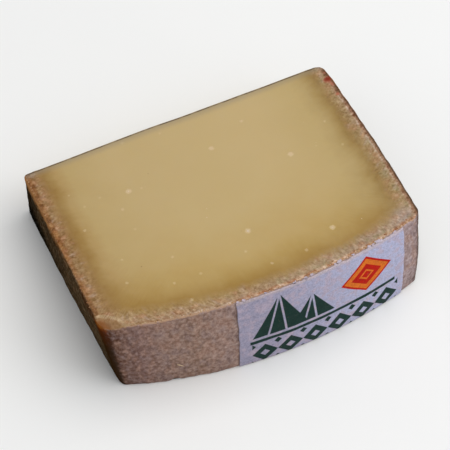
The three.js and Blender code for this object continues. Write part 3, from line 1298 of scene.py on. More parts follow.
@dataclass(frozen=True)
class PaperPrint:
    """The band's print: peaks over a rule, a row of diamonds under it and a ringed lozenge beside them.

    Attributes:
        paper: bare paper at the band's left and right end; the darker left end is painted shade.
        paper_shade: paper where it is creased or damp.
        torn_edge, grime: pale fibres of the torn upper edge, and brownish dirt.
        ink: dark green ink.
        lozenge_inks: red and orange ink, by turns from the lozenge's outline inwards.
        soft_edge: how far the ink's outline is soft.
        rule, rule_ends: heights of the rule's two edges up the band, and places of its ends along it.
        peaks: middle, foot, top and half width of each peak.
        ridge_slopes, ridge_width: lean and half width of the white ridge lines.
        lozenge: middle along, middle up, half width and half height of the lozenge.
        rings: outlines of the lozenge's rings, as shares of its size.
        diamond_gap: distance from one diamond to the next.
        diamond_height: middle and half height of the row of diamonds.
        diamond_ends: places of the row's two ends, along the band.
        diamond_hole: width of a diamond's ring, as a share of its half height.
        diamond_small: half width of the small ones between, as the same share.
    """

    paper: tuple[Tone, Tone] = (Tone(158, 153, 174), Tone(179, 180, 207))
    paper_shade: Tone = Tone(174, 158, 172)
    torn_edge: Tone = Tone(196, 178, 178)
    grime: Tone = Tone(150, 124, 104)
    ink: Tone = Tone(5, 44, 37)
    lozenge_inks: tuple[Tone, Tone] = (Tone(182, 22, 6), Tone(216, 112, 34))
    soft_edge: float = 0.12
    rule: tuple[float, float] = (12.3, 13.9)
    rule_ends: tuple[float, float] = (3.6, 57.0)
    peaks: tuple[tuple[float, float, float, float], ...] = ((14.2, 15.2, 34.6, 9.8), (25.6, 15.2, 28.6, 8.0))
    ridge_slopes: tuple[float, ...] = (0.1, -0.22)
    ridge_width: float = 0.36
    lozenge: tuple[float, float, float, float] = (45.6, 24.3, 9.6, 8.6)
    rings: tuple[float, ...] = (1.0, 0.88, 0.6, 0.3, 0.2)
    diamond_gap: float = 9.0
    diamond_height: tuple[float, float] = (5.2, 5.3)
    diamond_ends: tuple[float, float] = (4.2, 58.2)
    diamond_hole: float = 0.36
    diamond_small: float = 0.3

    def build(self) -> bpy.types.Material:
        """Builds the material.

        Returns:
            The material.
        """
        tree = ShaderBuilder("printed_paper")
        place = tree.place()
        along, up, drop = tree.axes(tree.named("print_place", "Vector"))
        fibre, damp = tree.noise(place, 0.6, 2.5, 0.75), tree.noise(place, 2.6, 3.0)
        # The paper darkens towards its left end: painted shade.
        colour = tree.mix(along.ease(2.0, 50.0), *self.paper)
        colour = tree.mix(damp.ease(0.46, 0.62, 0.0, 0.7), colour, self.paper_shade)

        green = self._rule(along, up)
        for peak in self.peaks:
            green = green.larger(self._peak(along, up, peak))
        green = green.larger(self._diamonds(along, up))
        colour = self._lozenge(tree, along, up, tree.mix(green, colour, self.ink))
        colour = tree.mix((drop + damp.spread(2.0)).ease(1.5, 0.4, 0.0, 0.7), colour, self.torn_edge)
        colour = tree.scaled(colour, fibre.spread(1.1) + damp.spread(0.5) + 1.0)
        colour = tree.mix(tree.noise(place, 1.6, 3.0).ease(0.62, 0.8, 0.0, 0.3), colour, self.grime)
        crinkle = tree.noise(tree.stretched(place, (1.0, 1.0, 0.7)), 3.2, 4.0, 0.6)
        return tree.finish(
            Base_Color=colour,
            Roughness=green.blend(0.8, 0.6),
            Normal=tree.bump(crinkle * 0.3 + fibre * 0.03),
            Specular_IOR_Level=0.12,
        )

    def _inked(self, reach: Signal) -> Signal:
        """One where a distance to an outline is above none, with a soft printed edge."""
        return reach.ease(-self.soft_edge, self.soft_edge)

    def _between(self, value: Signal, low: float, high: float) -> Signal:
        """How far a number lies inside a range, less than none outside it."""
        return (value - low).smaller(high - value)

    def _rule(self, along: Signal, up: Signal) -> Signal:
        """The straight rule across the band."""
        return self._inked(self._between(up, *self.rule).smaller(self._between(along, *self.rule_ends)))

    def _peak(self, along: Signal, up: Signal, peak: tuple[float, float, float, float]) -> Signal:
        """One peak, with white ridge lines running down from its top.

        Args:
            along: places along the band.
            up: places up the band.
            peak: the peak's middle, foot, top and half width.

        Returns:
            One where there is ink.
        """
        middle, foot, top, half = peak
        down, offset = top - up, along - middle
        solid = self._inked((down * (half / (top - foot)) - abs(offset)).smaller(up - foot))
        for slope in self.ridge_slopes:
            solid = solid.without(self._inked(self.ridge_width - abs(offset - down * slope)))
        return solid

    def _diamonds(self, along: Signal, up: Signal) -> Signal:
        """The row of diamonds with bare middles, tip to tip with small ones between.

        Args:
            along: places along the band.
            up: places up the band.

        Returns:
            One where there is ink.
        """
        middle, half = self.diamond_height
        half_gap = self.diamond_gap / 2.0
        across = along.tree.math("PINGPONG", along - self.diamond_ends[0], half_gap) / half_gap
        rise = abs(up - middle) / half
        far = 1.0 - across + rise
        ring = (1.0 - far).smaller(far - self.diamond_hole)
        small = self.diamond_small - (across + abs(1.0 - rise))
        return self._inked((ring.larger(small) * half).smaller(self._between(along, *self.diamond_ends)))

    def _lozenge(self, tree: ShaderBuilder, along: Signal, up: Signal, colour: Signal) -> Signal:
        """The ringed lozenge in two inks, laid over a colour.

        Args:
            tree: the material that is being built.
            along: places along the band.
            up: places up the band.
            colour: the colour so far.

        Returns:
            The colour with the lozenge.
        """
        middle, height, half_width, half_height = self.lozenge
        far = abs(along - middle) / half_width + abs(up - height) / half_height
        for number, size in enumerate(self.rings):
            colour = tree.mix(self._inked((size - far) * half_height), colour, self.lozenge_inks[number % 2])
        return colour


@dataclass(frozen=True)
class GrainFinish:
    """Small loose or sunken grains, each with its own shade.

    Attributes:
        name: the material's name.
        tones: colours of the grains, by a number from 0 to 1 that each grain draws.
        roughness: how matt they are.
        subsurface: share of light that passes through them.
    """

    name: str
    tones: Stops
    roughness: float
    subsurface: float

    def build(self) -> bpy.types.Material:
        """Builds the material.

        Returns:
            The material.
        """
        tree = ShaderBuilder(self.name)
        speckle = tree.noise(tree.place(), 0.35)
        return tree.finish(
            Base_Color=tree.ramp(tree.named("grain_shade") + speckle.spread(0.5), self.tones),
            Roughness=self.roughness,
            Normal=tree.bump(speckle * 0.08),
            Subsurface_Weight=self.subsurface,
            Subsurface_Radius=(1.0, 0.7, 0.4),
            Subsurface_Scale=0.0006,
            Specular_IOR_Level=0.3,
        )


@dataclass(frozen=True)
class FloorFinish:
    """The plain pale floor: its tone and the tone of its faint mottles."""

    tone: Tone = Tone(243, 243, 242)
    mottled: Tone = Tone(239, 239, 239)

    def build(self) -> bpy.types.Material:
        """Builds the material.

        Returns:
            The material.
        """
        tree = ShaderBuilder("pale_floor")
        mottle = tree.noise(tree.place(), 60.0)
        colour = tree.mix(mottle.ease(0.2, 0.8, 0.0, 0.3), self.tone, self.mottled)
        return tree.finish(Base_Color=colour, Roughness=0.9, Specular_IOR_Level=0.1)


# Grains scattered by geometry nodes

@dataclass(frozen=True)
class GrainTree:
    """A node tree that puts a lumpy grain on each point of a mesh.

    Attributes:
        variants: number of different lumps.
        swell: size of the lumps' swells, as swells for each width of a grain.
    """

    variants: int = 4
    swell: float = 1.9

    def build(self) -> bpy.types.NodeTree:
        """Builds the tree.

        Returns:
            The tree, with inputs for the grain's faces, lumpiness, flatness, seed and material.
        """
        tree = bpy.data.node_groups.new("scatter_grains", "GeometryNodeTree")
        tree.interface.new_socket("Geometry", in_out="OUTPUT", socket_type="NodeSocketGeometry")
        for name, kind in (
            ("Geometry", "Geometry"),
            ("Subdivisions", "Int"),
            ("Lumpiness", "Float"),
            ("Flatness", "Float"),
            ("Seed", "Int"),
            ("Material", "Material"),
        ):
            tree.interface.new_socket(name, in_out="INPUT", socket_type="NodeSocket" + kind)
        builder = TreeBuilder(tree)
        given = {socket.name: Signal(builder, socket) for socket in builder.add("NodeGroupInput").outputs}
        size, stretch, spin = (self._named(builder, "grain_" + name) for name in ("size", "stretch", "spin"))
        normal = self._named(builder, "grain_normal", "FLOAT_VECTOR")
        upright = builder.out("FunctionNodeAlignRotationToVector", {"Vector": normal}, axis="Z")
        turn = builder.out("FunctionNodeAxisAngleToRotation", {"Axis": (0.0, 0.0, 1.0), "Angle": spin})
        inputs = {"Rotation": upright, "Rotate By": turn}
        turned = builder.out("FunctionNodeRotateRotation", inputs, rotation_space="LOCAL")
        lengths = {0: size * stretch, 1: size, 2: size * given["Flatness"]}
        inputs = {
            "Points": given["Geometry"],
            "Instance": self._lumps(builder, given),
            "Pick Instance": True,
            "Instance Index": self._pick(builder, given["Seed"]),
            "Rotation": turned,
            "Scale": builder.out("ShaderNodeCombineXYZ", lengths),
        }
        placed = builder.out("GeometryNodeInstanceOnPoints", inputs)
        real = builder.out("GeometryNodeRealizeInstances", {0: placed})
        smooth = builder.out("GeometryNodeSetShadeSmooth", {"Geometry": real})
        dressed = builder.out("GeometryNodeSetMaterial", {"Geometry": smooth, "Material": given["Material"]})
        builder.add("NodeGroupOutput", {0: dressed})
        return tree

    def _named(self, builder: TreeBuilder, name: str, kind: str = "FLOAT") -> Signal:
        """A number or vector that the points hold."""
        return builder.out("GeometryNodeInputNamedAttribute", {"Name": name}, "Attribute", data_type=kind)

    def _pick(self, builder: TreeBuilder, seed: Signal) -> Signal:
        """Draws one of the lumps for each point.

        Args:
            builder: the tree that is being built.
            seed: number that fixes the draw.

        Returns:
            The lump's number.
        """
        node = builder.add("FunctionNodeRandomValue", {"Seed": seed}, data_type="INT")
        ends = [socket for socket in node.inputs if socket.name in ("Min", "Max") and socket.enabled]
        builder.feed(ends[0], 0)
        builder.feed(ends[1], self.variants - 1)
        return Signal(builder, next(socket for socket in node.outputs if socket.enabled))

    def _lumps(self, builder: TreeBuilder, given: dict[str, Signal]) -> Signal:
        """The different lumps as separate instances.

        Args:
            builder: the tree that is being built.
            given: the tree's own inputs.

        Returns:
            The lumps.
        """
        joined = builder.add("GeometryNodeJoinGeometry")
        for number in range(self.variants):
            inputs = {"Radius": 0.5, "Subdivisions": given["Subdivisions"]}
            ball = builder.out("GeometryNodeMeshIcoSphere", inputs)
            spot = builder.out("GeometryNodeInputPosition")
            inputs = {"Vector": spot, "W": 3.7 * number, "Scale": self.swell, "Detail": 1.0}
            noise = builder.out("ShaderNodeTexNoise", inputs, "Color", noise_dimensions="4D")
            inputs = {0: noise, 1: (0.5, 0.5, 0.5)}
            centred = builder.out("ShaderNodeVectorMath", inputs, operation="SUBTRACT")
            push = builder.scale(centred, given["Lumpiness"])
            lump = builder.out("GeometryNodeSetPosition", {"Geometry": ball, "Offset": push})
            builder.feed(joined.inputs[0], builder.out("GeometryNodeGeometryToInstance", {0: lump}))
        return Signal(builder, joined.outputs[0])


@dataclass(frozen=True)
class Grains:
    """Grains at known places, made into one plain mesh.

    Attributes:
        name: the piece's name.
        finish: its finish.
        slot: the record's material slot for the grains, handed on to fit_to_frame.
        subdivisions: how finely each grain is divided.
        lumpiness: how far a grain's surface strays from a ball.
        flatness: height of a grain as a share of its width.
        seed: number that fixes what is random.
    """

    name: str
    finish: GrainFinish
    slot: Slot
    subdivisions: int
    lumpiness: float
    flatness: float
    seed: int

    def build(self, tree: bpy.types.NodeTree, points: Array, **looks: Array) -> bpy.types.Object:
        """Scatters the grains and makes them plain mesh.

        Args:
            tree: the tree that puts a grain on each point.
            points: places in metres, one a row.
            looks: outward directions, sizes in millimetres, stretches, spins and shades of the grains.

        Returns:
            The finished piece.
        """
        looks["size"] = looks["size"] * MM
        values = {"grain_" + name: numbers for name, numbers in looks.items()}
        source = make_piece(self.name + "_places", points, np.zeros((0, 3), int), [], None, values)
        modifier = source.modifiers.new("grains", "NODES")
        modifier.node_group = tree
        given = {
            "Subdivisions": self.subdivisions,
            "Lumpiness": self.lumpiness,
            "Flatness": self.flatness,
            "Seed": self.seed,
            "Material": self.finish.build(),
        }
        for item in tree.interface.items_tree:
            if item.item_type == "SOCKET" and item.in_out == "INPUT" and item.name in given:
                modifier[item.identifier] = given[item.name]
        graph = bpy.context.evaluated_depsgraph_get()
        mesh = bpy.data.meshes.new_from_object(source.evaluated_get(graph))
        mesh.name = self.name
        bpy.data.objects.remove(source)
        piece = place_object(self.name, mesh)
        fit_to_frame(piece, self.slot)
        return piece


# The pieces

@dataclass(frozen=True)
class RindRelief:
    """Heights of the rind's swells, wrinkles and grain, each with its wave, in millimetres.

    Attributes:
        layers: height and wave of each layer.
        seed: number that fixes the pattern.
    """

    layers: tuple[tuple[float, float], ...]
    seed: int

    def at(self, points: Array) -> Array:
        """Works out the relief.

        Args:
            points: places in millimetres, one a row.

        Returns:
            Its height at each of them.
        """
        total = np.zeros(len(points))
        for number, (height, wave) in enumerate(self.layers):
            total += height * GradientNoise(self.seed + number).at(points, wave)
        return total


@dataclass(frozen=True)
class CheeseWedge:
    """The wedge itself: one closed skin with smooth cut faces and a craggy rind.

    Attributes:
        form: the wedge's form.
        quads: number of quads across, along and up.
        crowding: how much the mesh lines crowd towards the edges, for each axis.
        far: distance that stands for away from the cut.
        heel_relief, side_relief: relief of the heel and of the flat sides.
        band_relief, band_depth, band_fade: relief of the cut's grainy band, its depth and how softly it ends.
        cut_relief, cut_rise: slow waves of the cut, and the depths between which they rise.
        corner_blend: half the way round a corner over which the heel's looks pass into the side's.
        label_span, label_clear: ends of the smooth heel behind the label, and how soon the crags come back.
        notch: middle across, half width, height and depth of the nick in the heel's foot.
    """

    form: WedgeForm
    quads: tuple[int, int, int] = (194, 136, 62)
    crowding: tuple[float, float, float] = (0.25, 0.45, 0.15)
    far: float = 20.0
    heel_relief: RindRelief = RindRelief(((0.4, 14.0), (0.15, 5.5), (0.1, 2.4), (0.12, 1.3)), 5)
    side_relief: RindRelief = RindRelief(((0.25, 15.0), (0.16, 5.0), (0.12, 2.2)), 31)
    band_relief: RindRelief = RindRelief(((0.16, 2.2), (0.12, 1.2)), 47)
    cut_relief: RindRelief = RindRelief(((0.18, 26.0), (0.05, 9.0)), 61)
    band_depth: float = 3.75
    band_fade: float = 6.0
    cut_rise: tuple[float, float] = (1.0, 12.0)
    corner_blend: float = 2.2
    label_span: tuple[float, float] = (-12.7, 47.8)
    label_clear: float = 3.0
    notch: tuple[float, float, float, float] = (-33.5, 1.6, 1.1, 0.9)

    def build(self, paste: PasteFinish, rind: RindFinish) -> bpy.types.Object:
        """Builds and dresses the wedge.

        Args:
            paste: finish of the cut faces.
            rind: finish of the rind.

        Returns:
            The finished piece.
        """
        form = self.form
        lines = tuple(
            crowded(count, amount, far_end=axis != 1)
            for axis, (count, amount) in enumerate(zip(self.quads, self.crowding))
        )
        shares, quads, sides = BoxLattice(lines).skin()
        plain = form.place(shares)
        on_cut = shares[:, 2]
        left_corner, heel_share = self._corners(shares)
        flat_side, heel = self._depths(shares, plain)
        depth = round_least(flat_side, heel)
        values = {
            "rind_place": self._rind_place(plain, flat_side, heel),
            "chip_reach": np.where(on_cut > 0.5, form.chip_reach(plain[:, 0], plain[:, 1]), -self.far),
            "heel_share": heel_share,
            "rim_drop": form.top(plain[:, 0], plain[:, 1]) - plain[:, 2],
            "left_corner": left_corner,
            "back_way": np.where(on_cut == 1.0, form.depth * (1.0 - shares[:, 1]), self.far),
        }
        on_rind = np.isin(sides, [list(Side).index(side) for side in RIND_SIDES]).astype(int)
        points = form.to_row(self._with_relief(shares, plain, quads, depth))
        finishes = [paste.build(form), rind.build()]
        piece = make_piece("cheese_wedge", points, quads, finishes, on_rind, values)
        fit_to_frame(piece, Slot.PASTE, "cheese")
        return piece

    def _corners(self, shares: Array) -> tuple[Array, Array]:
        """Where the points lie round the two heel corners.

        Args:
            shares: shares of the box.

        Returns:
            The way along the heel from the left corner less the way along the side, in millimetres, and a
            number that is one on the heel, none on the flat sides, and blends round both corners.
        """
        back = self.form.depth * shares[:, 1]
        along = self.form.wheel_height * shares[:, 0]
        left, right = along - back, self.form.wheel_height - along - back
        return left, smooth_step(np.minimum(left, right), -self.corner_blend, self.corner_blend)

    def _depths(self, shares: Array, points: Array) -> tuple[Array, Array]:
        """Distance of each point from the nearer flat side and from the heel.

        Args:
            shares: shares of the box.
            points: places on the wedge.

        Returns:
            The two distances in millimetres.
        """
        form = self.form
        x, y = form.wheel_height * (shares[:, 0] - 0.5), form.depth * shares[:, 1]
        x, _ = form.round_corners(x, y, shares[:, 2])
        flat_side = np.minimum(x + form.half, form.half - x)
        heel = points[:, 1] - form.heel_y(points[:, 0], shares[:, 2] * form.heel_thickness)
        return np.maximum(flat_side, 0.0), np.maximum(heel, 0.0)

    def _rind_place(self, points: Array, flat_side: Array, heel: Array) -> Array:
        """Places on the cut as the rind sees them.

        Args:
            points: places on the wedge.
            flat_side: distance of each point from the nearer flat side.
            heel: distance of each point from the heel.

        Returns:
            The way along the rind, the depth below it, and one near the heel or none near a flat side.
        """
        near_heel = smooth_step(flat_side / np.maximum(flat_side + heel, 1e-9), 0.3, 0.7)
        along_heel = points[:, 0] - np.sign(points[:, 0]) * self.form.half
        along_side = np.sign(points[:, 0]) * heel
        along = near_heel * along_heel + (1.0 - near_heel) * along_side
        return np.stack([along, round_least(flat_side, heel), near_heel], axis=1)

    def _with_relief(self, shares: Array, points: Array, quads: Array, depth: Array) -> Array:
        """Raises the crags, the band's grain and the cut's slow waves, and nicks the heel's foot.

        Args:
            shares: shares of the box.
            points: places on the plain wedge.
            quads: its quads.
            depth: distance of each point from the rind.

        Returns:
            The new places.
        """
        on_heel, on_side = shares[:, 1] == 0.0, (shares[:, 0] == 0.0) | (shares[:, 0] == 1.0)
        start, end = self.label_span
        before = 1.0 - smooth_step(points[:, 0], start - self.label_clear, start)
        after = smooth_step(points[:, 0], end, end + self.label_clear)
        bare = np.where(on_heel & ~on_side, np.maximum(before, after), 1.0)
        _, heel_share = self._corners(shares)
        crags = heel_share * self.heel_relief.at(points) + (1.0 - heel_share) * self.side_relief.at(points)
        band = np.exp(-np.maximum(depth - self.band_depth, 0.0) ** 2 / self.band_fade)
        waves = smooth_step(depth, *self.cut_rise) * self.cut_relief.at(points)
        cut = band * self.band_relief.at(points) + waves
        height = np.where(on_heel | on_side, crags * bare, cut)
        moved = points + point_normals(points, quads) * height[:, None]
        middle, half, high, nick = self.notch
        low = np.exp(-((points[:, 0] - middle) / half) ** 2 - (points[:, 2] / high) ** 2) * on_heel
        moved[:, 1] += nick * low
        moved[:, 2] = np.where(shares[:, 2] == 0.0, 0.0, np.maximum(moved[:, 2], 0.0))
        return moved


@dataclass(frozen=True)
class LabelBand:
    """The paper band glued round the heel.

    Attributes:
        form: the wedge's form, which the band follows.
        left, right: the band's two ends.
        bottom: height of its lower edge.
        top_margin: how far its upper edge stays below the rim.
        gap: distance of its back from the heel.
        thickness: thickness of the paper.
        ragged, tear_waves: how far the upper edge is torn down, and the width of large and small tears.
        frayed, fray_wave, fray_power: how far the ends wander, how high a swell is, how near the ends it stays.
        wrinkle, wrinkle_waves: height of its wrinkles, and the width of large and small ones.
        flat_edge: share of its height beside both edges over which the large wrinkles rise.
        height: its height, over which its ends wander.
        quads: number of quads along, through and up.
        seed: number that fixes its wrinkles and tears.
    """

    form: WedgeForm
    left: float = -12.7
    right: float = 47.8
    bottom: float = 0.55
    top_margin: float = -0.1
    gap: float = 0.12
    thickness: float = 0.28
    ragged: float = 0.5
    frayed: float = 0.22
    fray_wave: float = 4.0
    fray_power: int = 9
    wrinkle: float = 0.2
    wrinkle_waves: tuple[float, float] = (9.0, 2.6)
    flat_edge: float = 0.12
    tear_waves: tuple[float, float] = (2.6, 0.9)
    height: float = 34.0
    quads: tuple[int, int, int] = (200, 1, 96)
    seed: int = 83

    def build(self, finish: PaperPrint) -> bpy.types.Object:
        """Builds and dresses the band.

        Args:
            finish: the paper and its print.

        Returns:
            The finished piece.
        """
        shares, quads, _ = BoxLattice(tuple(np.linspace(0.0, 1.0, count + 1) for count in self.quads)).skin()
        noise = GradientNoise(self.seed)
        flat = np.zeros(len(shares))
        ends = noise.at(np.stack([flat, flat, shares[:, 2] * self.height], axis=1), self.fray_wave)
        x = self.left + (self.right - self.left) * shares[:, 0]
        x = x + self.frayed * ends * np.abs(2.0 * shares[:, 0] - 1.0) ** self.fray_power
        rim = self.form.thickness(self.form.rim_y(x))
        top = rim - self.top_margin - self._tear(x)
        z = self.bottom + (top - self.bottom) * shares[:, 2]
        heel = self.form.heel_y(x, z / rim * self.form.heel_thickness)
        spots = np.stack([x, flat, z], axis=1)
        edge = smooth_step(np.minimum(shares[:, 2], 1.0 - shares[:, 2]), 0.0, self.flat_edge)
        large, small = (noise.at(spots, wave) for wave in self.wrinkle_waves)
        lift = self.wrinkle * (large + 0.6) * edge + 0.3 * self.wrinkle * (small + 0.5)
        outward = self.gap + np.maximum(lift, 0.0) + self.thickness * (1.0 - shares[:, 1])
        points = np.stack([x, heel - outward, z], axis=1)
        values = {"print_place": np.stack([x - self.left, z, top - z], axis=1)}
        piece = make_piece("label_paper", self.form.to_row(points), quads, [finish.build()], None, values)
        fit_to_frame(piece, Slot.PAPER, "label_band")
        return piece

    def _tear(self, x: Array) -> Array:
        """Tears the upper edge.

        Args:
            x: places along the band.

        Returns:
            How far it is torn down there.
        """
        line = np.stack([x, np.full(len(x), 7.3), np.full(len(x), 1.9)], axis=1)
        coarse, fine = (
            GradientNoise(self.seed + number).at(line, wave) for number, wave in enumerate(self.tear_waves, 1)
        )
        return self.ragged * np.clip(0.25 + 0.9 * coarse + 0.6 * fine, 0.0, 1.0)


@dataclass(frozen=True)
class CutCrystals:
    """White crystals that show on the cut, the large ones where they are seen and fine ones between.

    Attributes:
        form: the wedge's form.
        grains: how the crystals are made.
        seen_share: width of a seen crystal as a share of its soft halo.
        small_count: number of fine crystals.
        small_size: least and greatest width of a fine crystal.
        margin, back_margin: distance that the fine ones keep from the flat sides and from the back.
        sunk, stretch: depth of a crystal below the cut and its length, as shares of its width.
        seed: number that fixes the fine ones.
    """

    form: WedgeForm
    grains: Grains
    seen_share: float = 0.36
    small_count: int = 12
    small_size: tuple[float, float] = (0.16, 0.3)
    margin: float = 10.0
    back_margin: float = 4.0
    sunk: float = 0.14
    stretch: tuple[float, float] = (0.8, 2.0)
    seed: int = 19

    def build(self, tree: bpy.types.NodeTree) -> bpy.types.Object:
        """Builds the crystals.

        Args:
            tree: the tree that puts a grain on each point.

        Returns:
            The finished piece.
        """
        draw = np.random.default_rng(self.seed)
        form = self.form
        reach = form.half - self.margin
        seen_x, seen_y, seen_size = np.array(CRYSTAL_SPOTS).T
        x = np.append(seen_x, draw.uniform(-reach, reach, self.small_count))
        y = np.append(seen_y, draw.uniform(0.0, form.depth - self.back_margin, self.small_count))
        size = np.append(self.seen_share * seen_size, draw.uniform(*self.small_size, self.small_count))
        count = len(x)
        slope = (form.heel_thickness - form.back_thickness) / form.depth
        return self.grains.build(
            tree,
            form.to_row(np.stack([x, y, form.thickness(y) - self.sunk * size], axis=1)),
            normal=np.tile(np.array([0.0, slope, 1.0]) / math.hypot(slope, 1.0), (count, 1)),
            size=size,
            stretch=draw.uniform(*self.stretch, count),
            spin=draw.uniform(0.0, FULL_TURN, count),
            shade=np.clip(1.5 - 3.6 * size + draw.uniform(-0.15, 0.15, count), 0.0, 1.0),
        )


@dataclass(frozen=True)
class RimCrumbs:
    """Crumbs that the knife left along the rind's edge of the upper cut, and one straw on the heel.

    Attributes:
        form: the wedge's form.
        grains: how the crumbs are made.
        heel_density, side_density: crumbs for each millimetre of the heel's rim and of the left rim.
        gather: how far they gather towards the heel's right end.
        size, size_power: least and greatest width of a crumb, and how far small ones outnumber large.
        lift, stretch: height of a crumb above the rim and its length, as shares of its width.
        spread: how far the crumbs stray from the rim, on average.
        heel_margins, side_margins: distance that they keep from both ends of the heel and of the left side.
        straw: place across, height, length and width of the straw.
        straw_out, straw_up, straw_spin: how far it stands off the heel, its outward direction and its turn.
        seed: number that fixes the crumbs.
    """

    form: WedgeForm
    grains: Grains
    heel_density: float = 2.6
    side_density: float = 0.9
    gather: float = 1.4
    size: tuple[float, float] = (0.2, 0.55)
    size_power: float = 2.2
    lift: float = 0.05
    stretch: tuple[float, float] = (0.8, 1.9)
    spread: float = 0.35
    heel_margins: tuple[float, float] = (11.5, 2.5)
    side_margins: tuple[float, float] = (7.0, 4.0)
    straw: tuple[float, float, float, float] = (-32.0, 10.0, 3.2, 0.3)
    straw_out: float = 0.12
    straw_up: tuple[float, float, float] = (0.1, -0.98, 0.15)
    straw_spin: float = -0.76
    seed: int = 23

    def build(self, tree: bpy.types.NodeTree) -> bpy.types.Object:
        """Builds the crumbs and the straw.

        Args:
            tree: the tree that puts a grain on each point.

        Returns:
            The finished piece.
        """
        draw = np.random.default_rng(self.seed)
        form, half = self.form, self.form.half
        heel_count, side_count = round(self.heel_density * 2.0 * half), round(self.side_density * form.depth)
        count = heel_count + side_count
        inward = form.rim_round + draw.exponential(self.spread, count)
        left, right = self.heel_margins
        shares = draw.uniform(0.0, 1.0, heel_count) ** self.gather
        across = half - right - (2.0 * half - left - right) * shares
        front, back = self.side_margins
        along = draw.uniform(front, form.depth - back, side_count)
        x = np.append(across, inward[heel_count:] - half)
        y = np.append(form.rim_y(across) + inward[:heel_count], along)
        least, greatest = self.size
        size = least + (greatest - least) * draw.uniform(0.0, 1.0, count) ** self.size_power
        z = form.top(x, y) + self.lift * size
        stretch, spin = draw.uniform(*self.stretch, count), draw.uniform(0.0, FULL_TURN, count)
        shade = np.clip(draw.beta(1.6, 2.0, count) + 0.5 * (x < -half + 3.0), 0.0, 1.0)

        straw_x, straw_z, straw_length, straw_width = self.straw
        straw_y = float(form.heel_y(np.array(straw_x), np.array(straw_z))) - self.straw_out
        spots = np.vstack([np.stack([x, y, z], axis=1), [straw_x, straw_y, straw_z]])
        return self.grains.build(
            tree,
            form.to_row(spots),
            normal=np.vstack([np.tile(RIM_UP, (count, 1)), self.straw_up]),
            size=np.append(size, straw_width),
            stretch=np.append(stretch, straw_length / straw_width),
            spin=np.append(spin, self.straw_spin),
            shade=np.append(shade, 0.0),
        )


@dataclass(frozen=True)
class PaperScraps:
    """Scraps of the torn band that lie on the crumbly rim above it.

    Attributes:
        form: the wedge's form.
        grains: how the scraps are made.
        scraps: place across, way in from the rim and width of each scrap.
        lift: how far their middles lie above the rim.
        seed: number that fixes how they lie.
    """

    form: WedgeForm
    grains: Grains
    scraps: tuple[tuple[float, float, float], ...] = (
        (44.5, 0.0, 0.9), (38.4, 0.1, 1.3), (37.4, 0.3, 1.2), (36.0, 0.0, 0.8), (34.6, 0.1, 1.0),
        (28.6, 0.3, 0.8), (23.4, 0.4, 1.1), (21.8, 0.2, 0.8), (13.4, 0.2, 1.0), (11.2, 0.0, 1.1),
        (7.2, 0.0, 0.8), (-2.6, 0.1, 0.7), (-10.0, 0.1, 1.0), (-12.0, 0.0, 0.8),
    )
    lift: float = 0.02
    seed: int = 37

    def build(self, tree: bpy.types.NodeTree) -> bpy.types.Object:
        """Builds the scraps.

        Args:
            tree: the tree that puts a grain on each point.

        Returns:
            The finished piece.
        """
        draw = np.random.default_rng(self.seed)
        x, inward, size = np.array(self.scraps).T
        y = self.form.rim_y(x) + inward
        return self.grains.build(
            tree,
            self.form.to_row(np.stack([x, y, self.form.thickness(y) + self.lift], axis=1)),
            normal=np.tile(RIM_UP, (len(x), 1)),
            size=size,
            stretch=draw.uniform(1.0, 1.7, len(x)),
            spin=draw.uniform(-0.5, 0.9, len(x)),
            shade=draw.uniform(0.1, 0.9, len(x)),
        )


# Studio

@dataclass(frozen=True)
class SoftLamp:
    """A large soft lamp that points at the wedge.

    Attributes:
        name: the lamp's name.
        direction: from the wedge to the lamp.
        distance: how far away it hangs, in millimetres.
        size: width of its square face, in millimetres.
        power: watts.
        colour: its colour, linear.
    """

    name: str
    direction: tuple[float, float, float]
    distance: float
    size: float
    power: float
    colour: tuple[float, float, float]

    def build(self) -> None:
        """Hangs the lamp."""
        data = bpy.data.lights.new(self.name, "AREA")
        data.energy = self.power
        data.size = self.size * MM
        data.color = self.colour
        lamp = place_object(self.name, data)
        towards = Vector(self.direction).normalized()
        lamp.location = towards * self.distance * MM
        lamp.rotation_euler = towards.to_track_quat("Z", "Y").to_euler()


@dataclass(frozen=True)
class PhotoCamera:
    """The camera, at the angle from which the photograph was taken.

    Attributes:
        azimuth: degrees round the wedge; 0 looks along +Y.
        elevation: degrees above the horizon.
        roll: degrees about the line of sight.
        target: point that it looks at, in millimetres.
        distance: its distance from that point, in millimetres.
        lens, sensor: focal length and width of the sensor, in millimetres.
    """

    azimuth: float = -23.76
    elevation: float = 58.54
    roll: float = 0.53
    target: tuple[float, float, float] = (-0.68, -0.95, 18.0)
    distance: float = 659.8
    lens: float = 160.0
    sensor: float = 36.0

    def build(self) -> None:
        """Places the camera and makes it the scene's."""
        turn = Matrix.Rotation(math.radians(self.azimuth), 4, "Z")
        tilt = Matrix.Rotation(math.radians(90.0 - self.elevation), 4, "X")
        roll = Matrix.Rotation(math.radians(self.roll), 4, "Z")
        data = bpy.data.cameras.new("photo_camera")
        data.lens = self.lens
        data.sensor_width = self.sensor
        data.clip_start = 0.01
        camera = place_object("photo_camera", data)
        back = Matrix.Translation((0.0, 0.0, self.distance * MM))
        camera.matrix_world = Matrix.Translation(Vector(self.target) * MM) @ turn @ tilt @ roll @ back
        bpy.context.scene.camera = camera


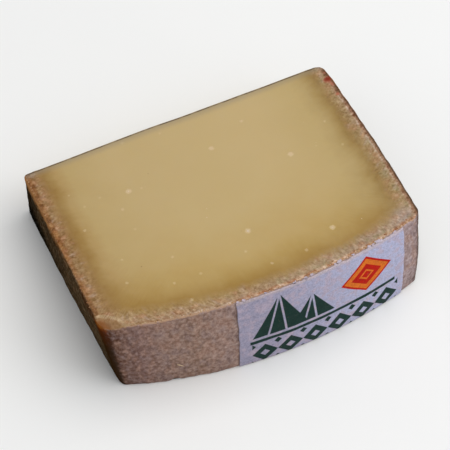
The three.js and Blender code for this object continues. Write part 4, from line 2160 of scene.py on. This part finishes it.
@dataclass(frozen=True)
class Studio:
    """Pale floor, soft light and camera.

    Attributes:
        floor_size: width of the floor in millimetres.
        floor_drop: how far the floor lies below the wedge, in millimetres.
        sky: brightness of the light from all round.
        sky_colour: its colour, linear.
        lamps: the soft lamps.
    """

    floor_size: float = 6000.0
    floor_drop: float = 0.1
    sky: float = 0.43
    sky_colour: tuple[float, float, float, float] = (0.96, 0.98, 1.0, 1.0)
    lamps: tuple[SoftLamp, ...] = (
        SoftLamp("key_lamp", (0.3, -0.08, 0.95), 1300.0, 1400.0, 13.0, (1.0, 0.985, 0.96)),
        SoftLamp("right_lamp", (0.85, -0.5, 0.3), 1500.0, 1500.0, 7.0, (0.84, 0.9, 1.0)),
    )

    def build(self) -> None:
        """Sets up the floor, the lamps, the sky and the camera."""
        half, drop = self.floor_size / 2.0 * MM, -self.floor_drop * MM
        plan = ((-half, -half), (half, -half), (half, half), (-half, half))
        corners = np.array([(x, y, drop) for x, y in plan])
        floor = make_piece("floor", corners, np.array([[0, 1, 2, 3]]), [FloorFinish().build()])
        for lamp in self.lamps:
            lamp.build()
        scene = bpy.context.scene
        scene.world = bpy.data.worlds.new("soft_sky")
        scene.world.use_nodes = True
        background = scene.world.node_tree.nodes["Background"]
        background.inputs["Color"].default_value = self.sky_colour
        background.inputs["Strength"].default_value = self.sky
        scene.view_settings.view_transform = "Standard"
        PhotoCamera().build()


def report(piece: bpy.types.Object) -> None:
    """Logs a piece with the number of its points and faces."""
    LOG.info("%s: %d points, %d faces", piece.name, len(piece.data.vertices), len(piece.data.polygons))


def main() -> None:
    """Builds the studio, the wedge, its band, its crystals and its crumbs, in that order."""
    logging.basicConfig(level=logging.INFO, format="%(message)s")
    form = WedgeForm()
    Studio().build()
    report(CheeseWedge(form).build(PasteFinish(), RindFinish()))
    report(LabelBand(form).build(PaperPrint()))

    scatter = GrainTree().build()
    ivory = GrainFinish("ivory_crystal", stops((0.0, 222, 200, 178), (1.0, 200, 176, 130)), 0.6, 0.4)
    crust_tones = stops((0.0, 200, 172, 140), (0.5, 176, 136, 98), (1.0, 142, 94, 58))
    crust = GrainFinish("crust_crumb", crust_tones, 0.75, 0.2)
    torn = GrainFinish("torn_paper", stops((0.0, 196, 186, 200), (1.0, 186, 168, 176)), 0.8, 0.1)
    crystals = Grains("cut_crystals", ivory, Slot.CRYSTAL, 3, 0.5, 0.35, 3)
    crumbs = Grains("rim_crumbs", crust, Slot.RIND, 2, 1.0, 0.5, 4)
    scraps = Grains("paper_scraps", torn, Slot.PAPER, 3, 1.1, 0.25, 6)
    report(CutCrystals(form, crystals).build(scatter))
    report(RimCrumbs(form, crumbs).build(scatter))
    report(PaperScraps(form, scraps).build(scatter))


if __name__ == "__main__":
    main()
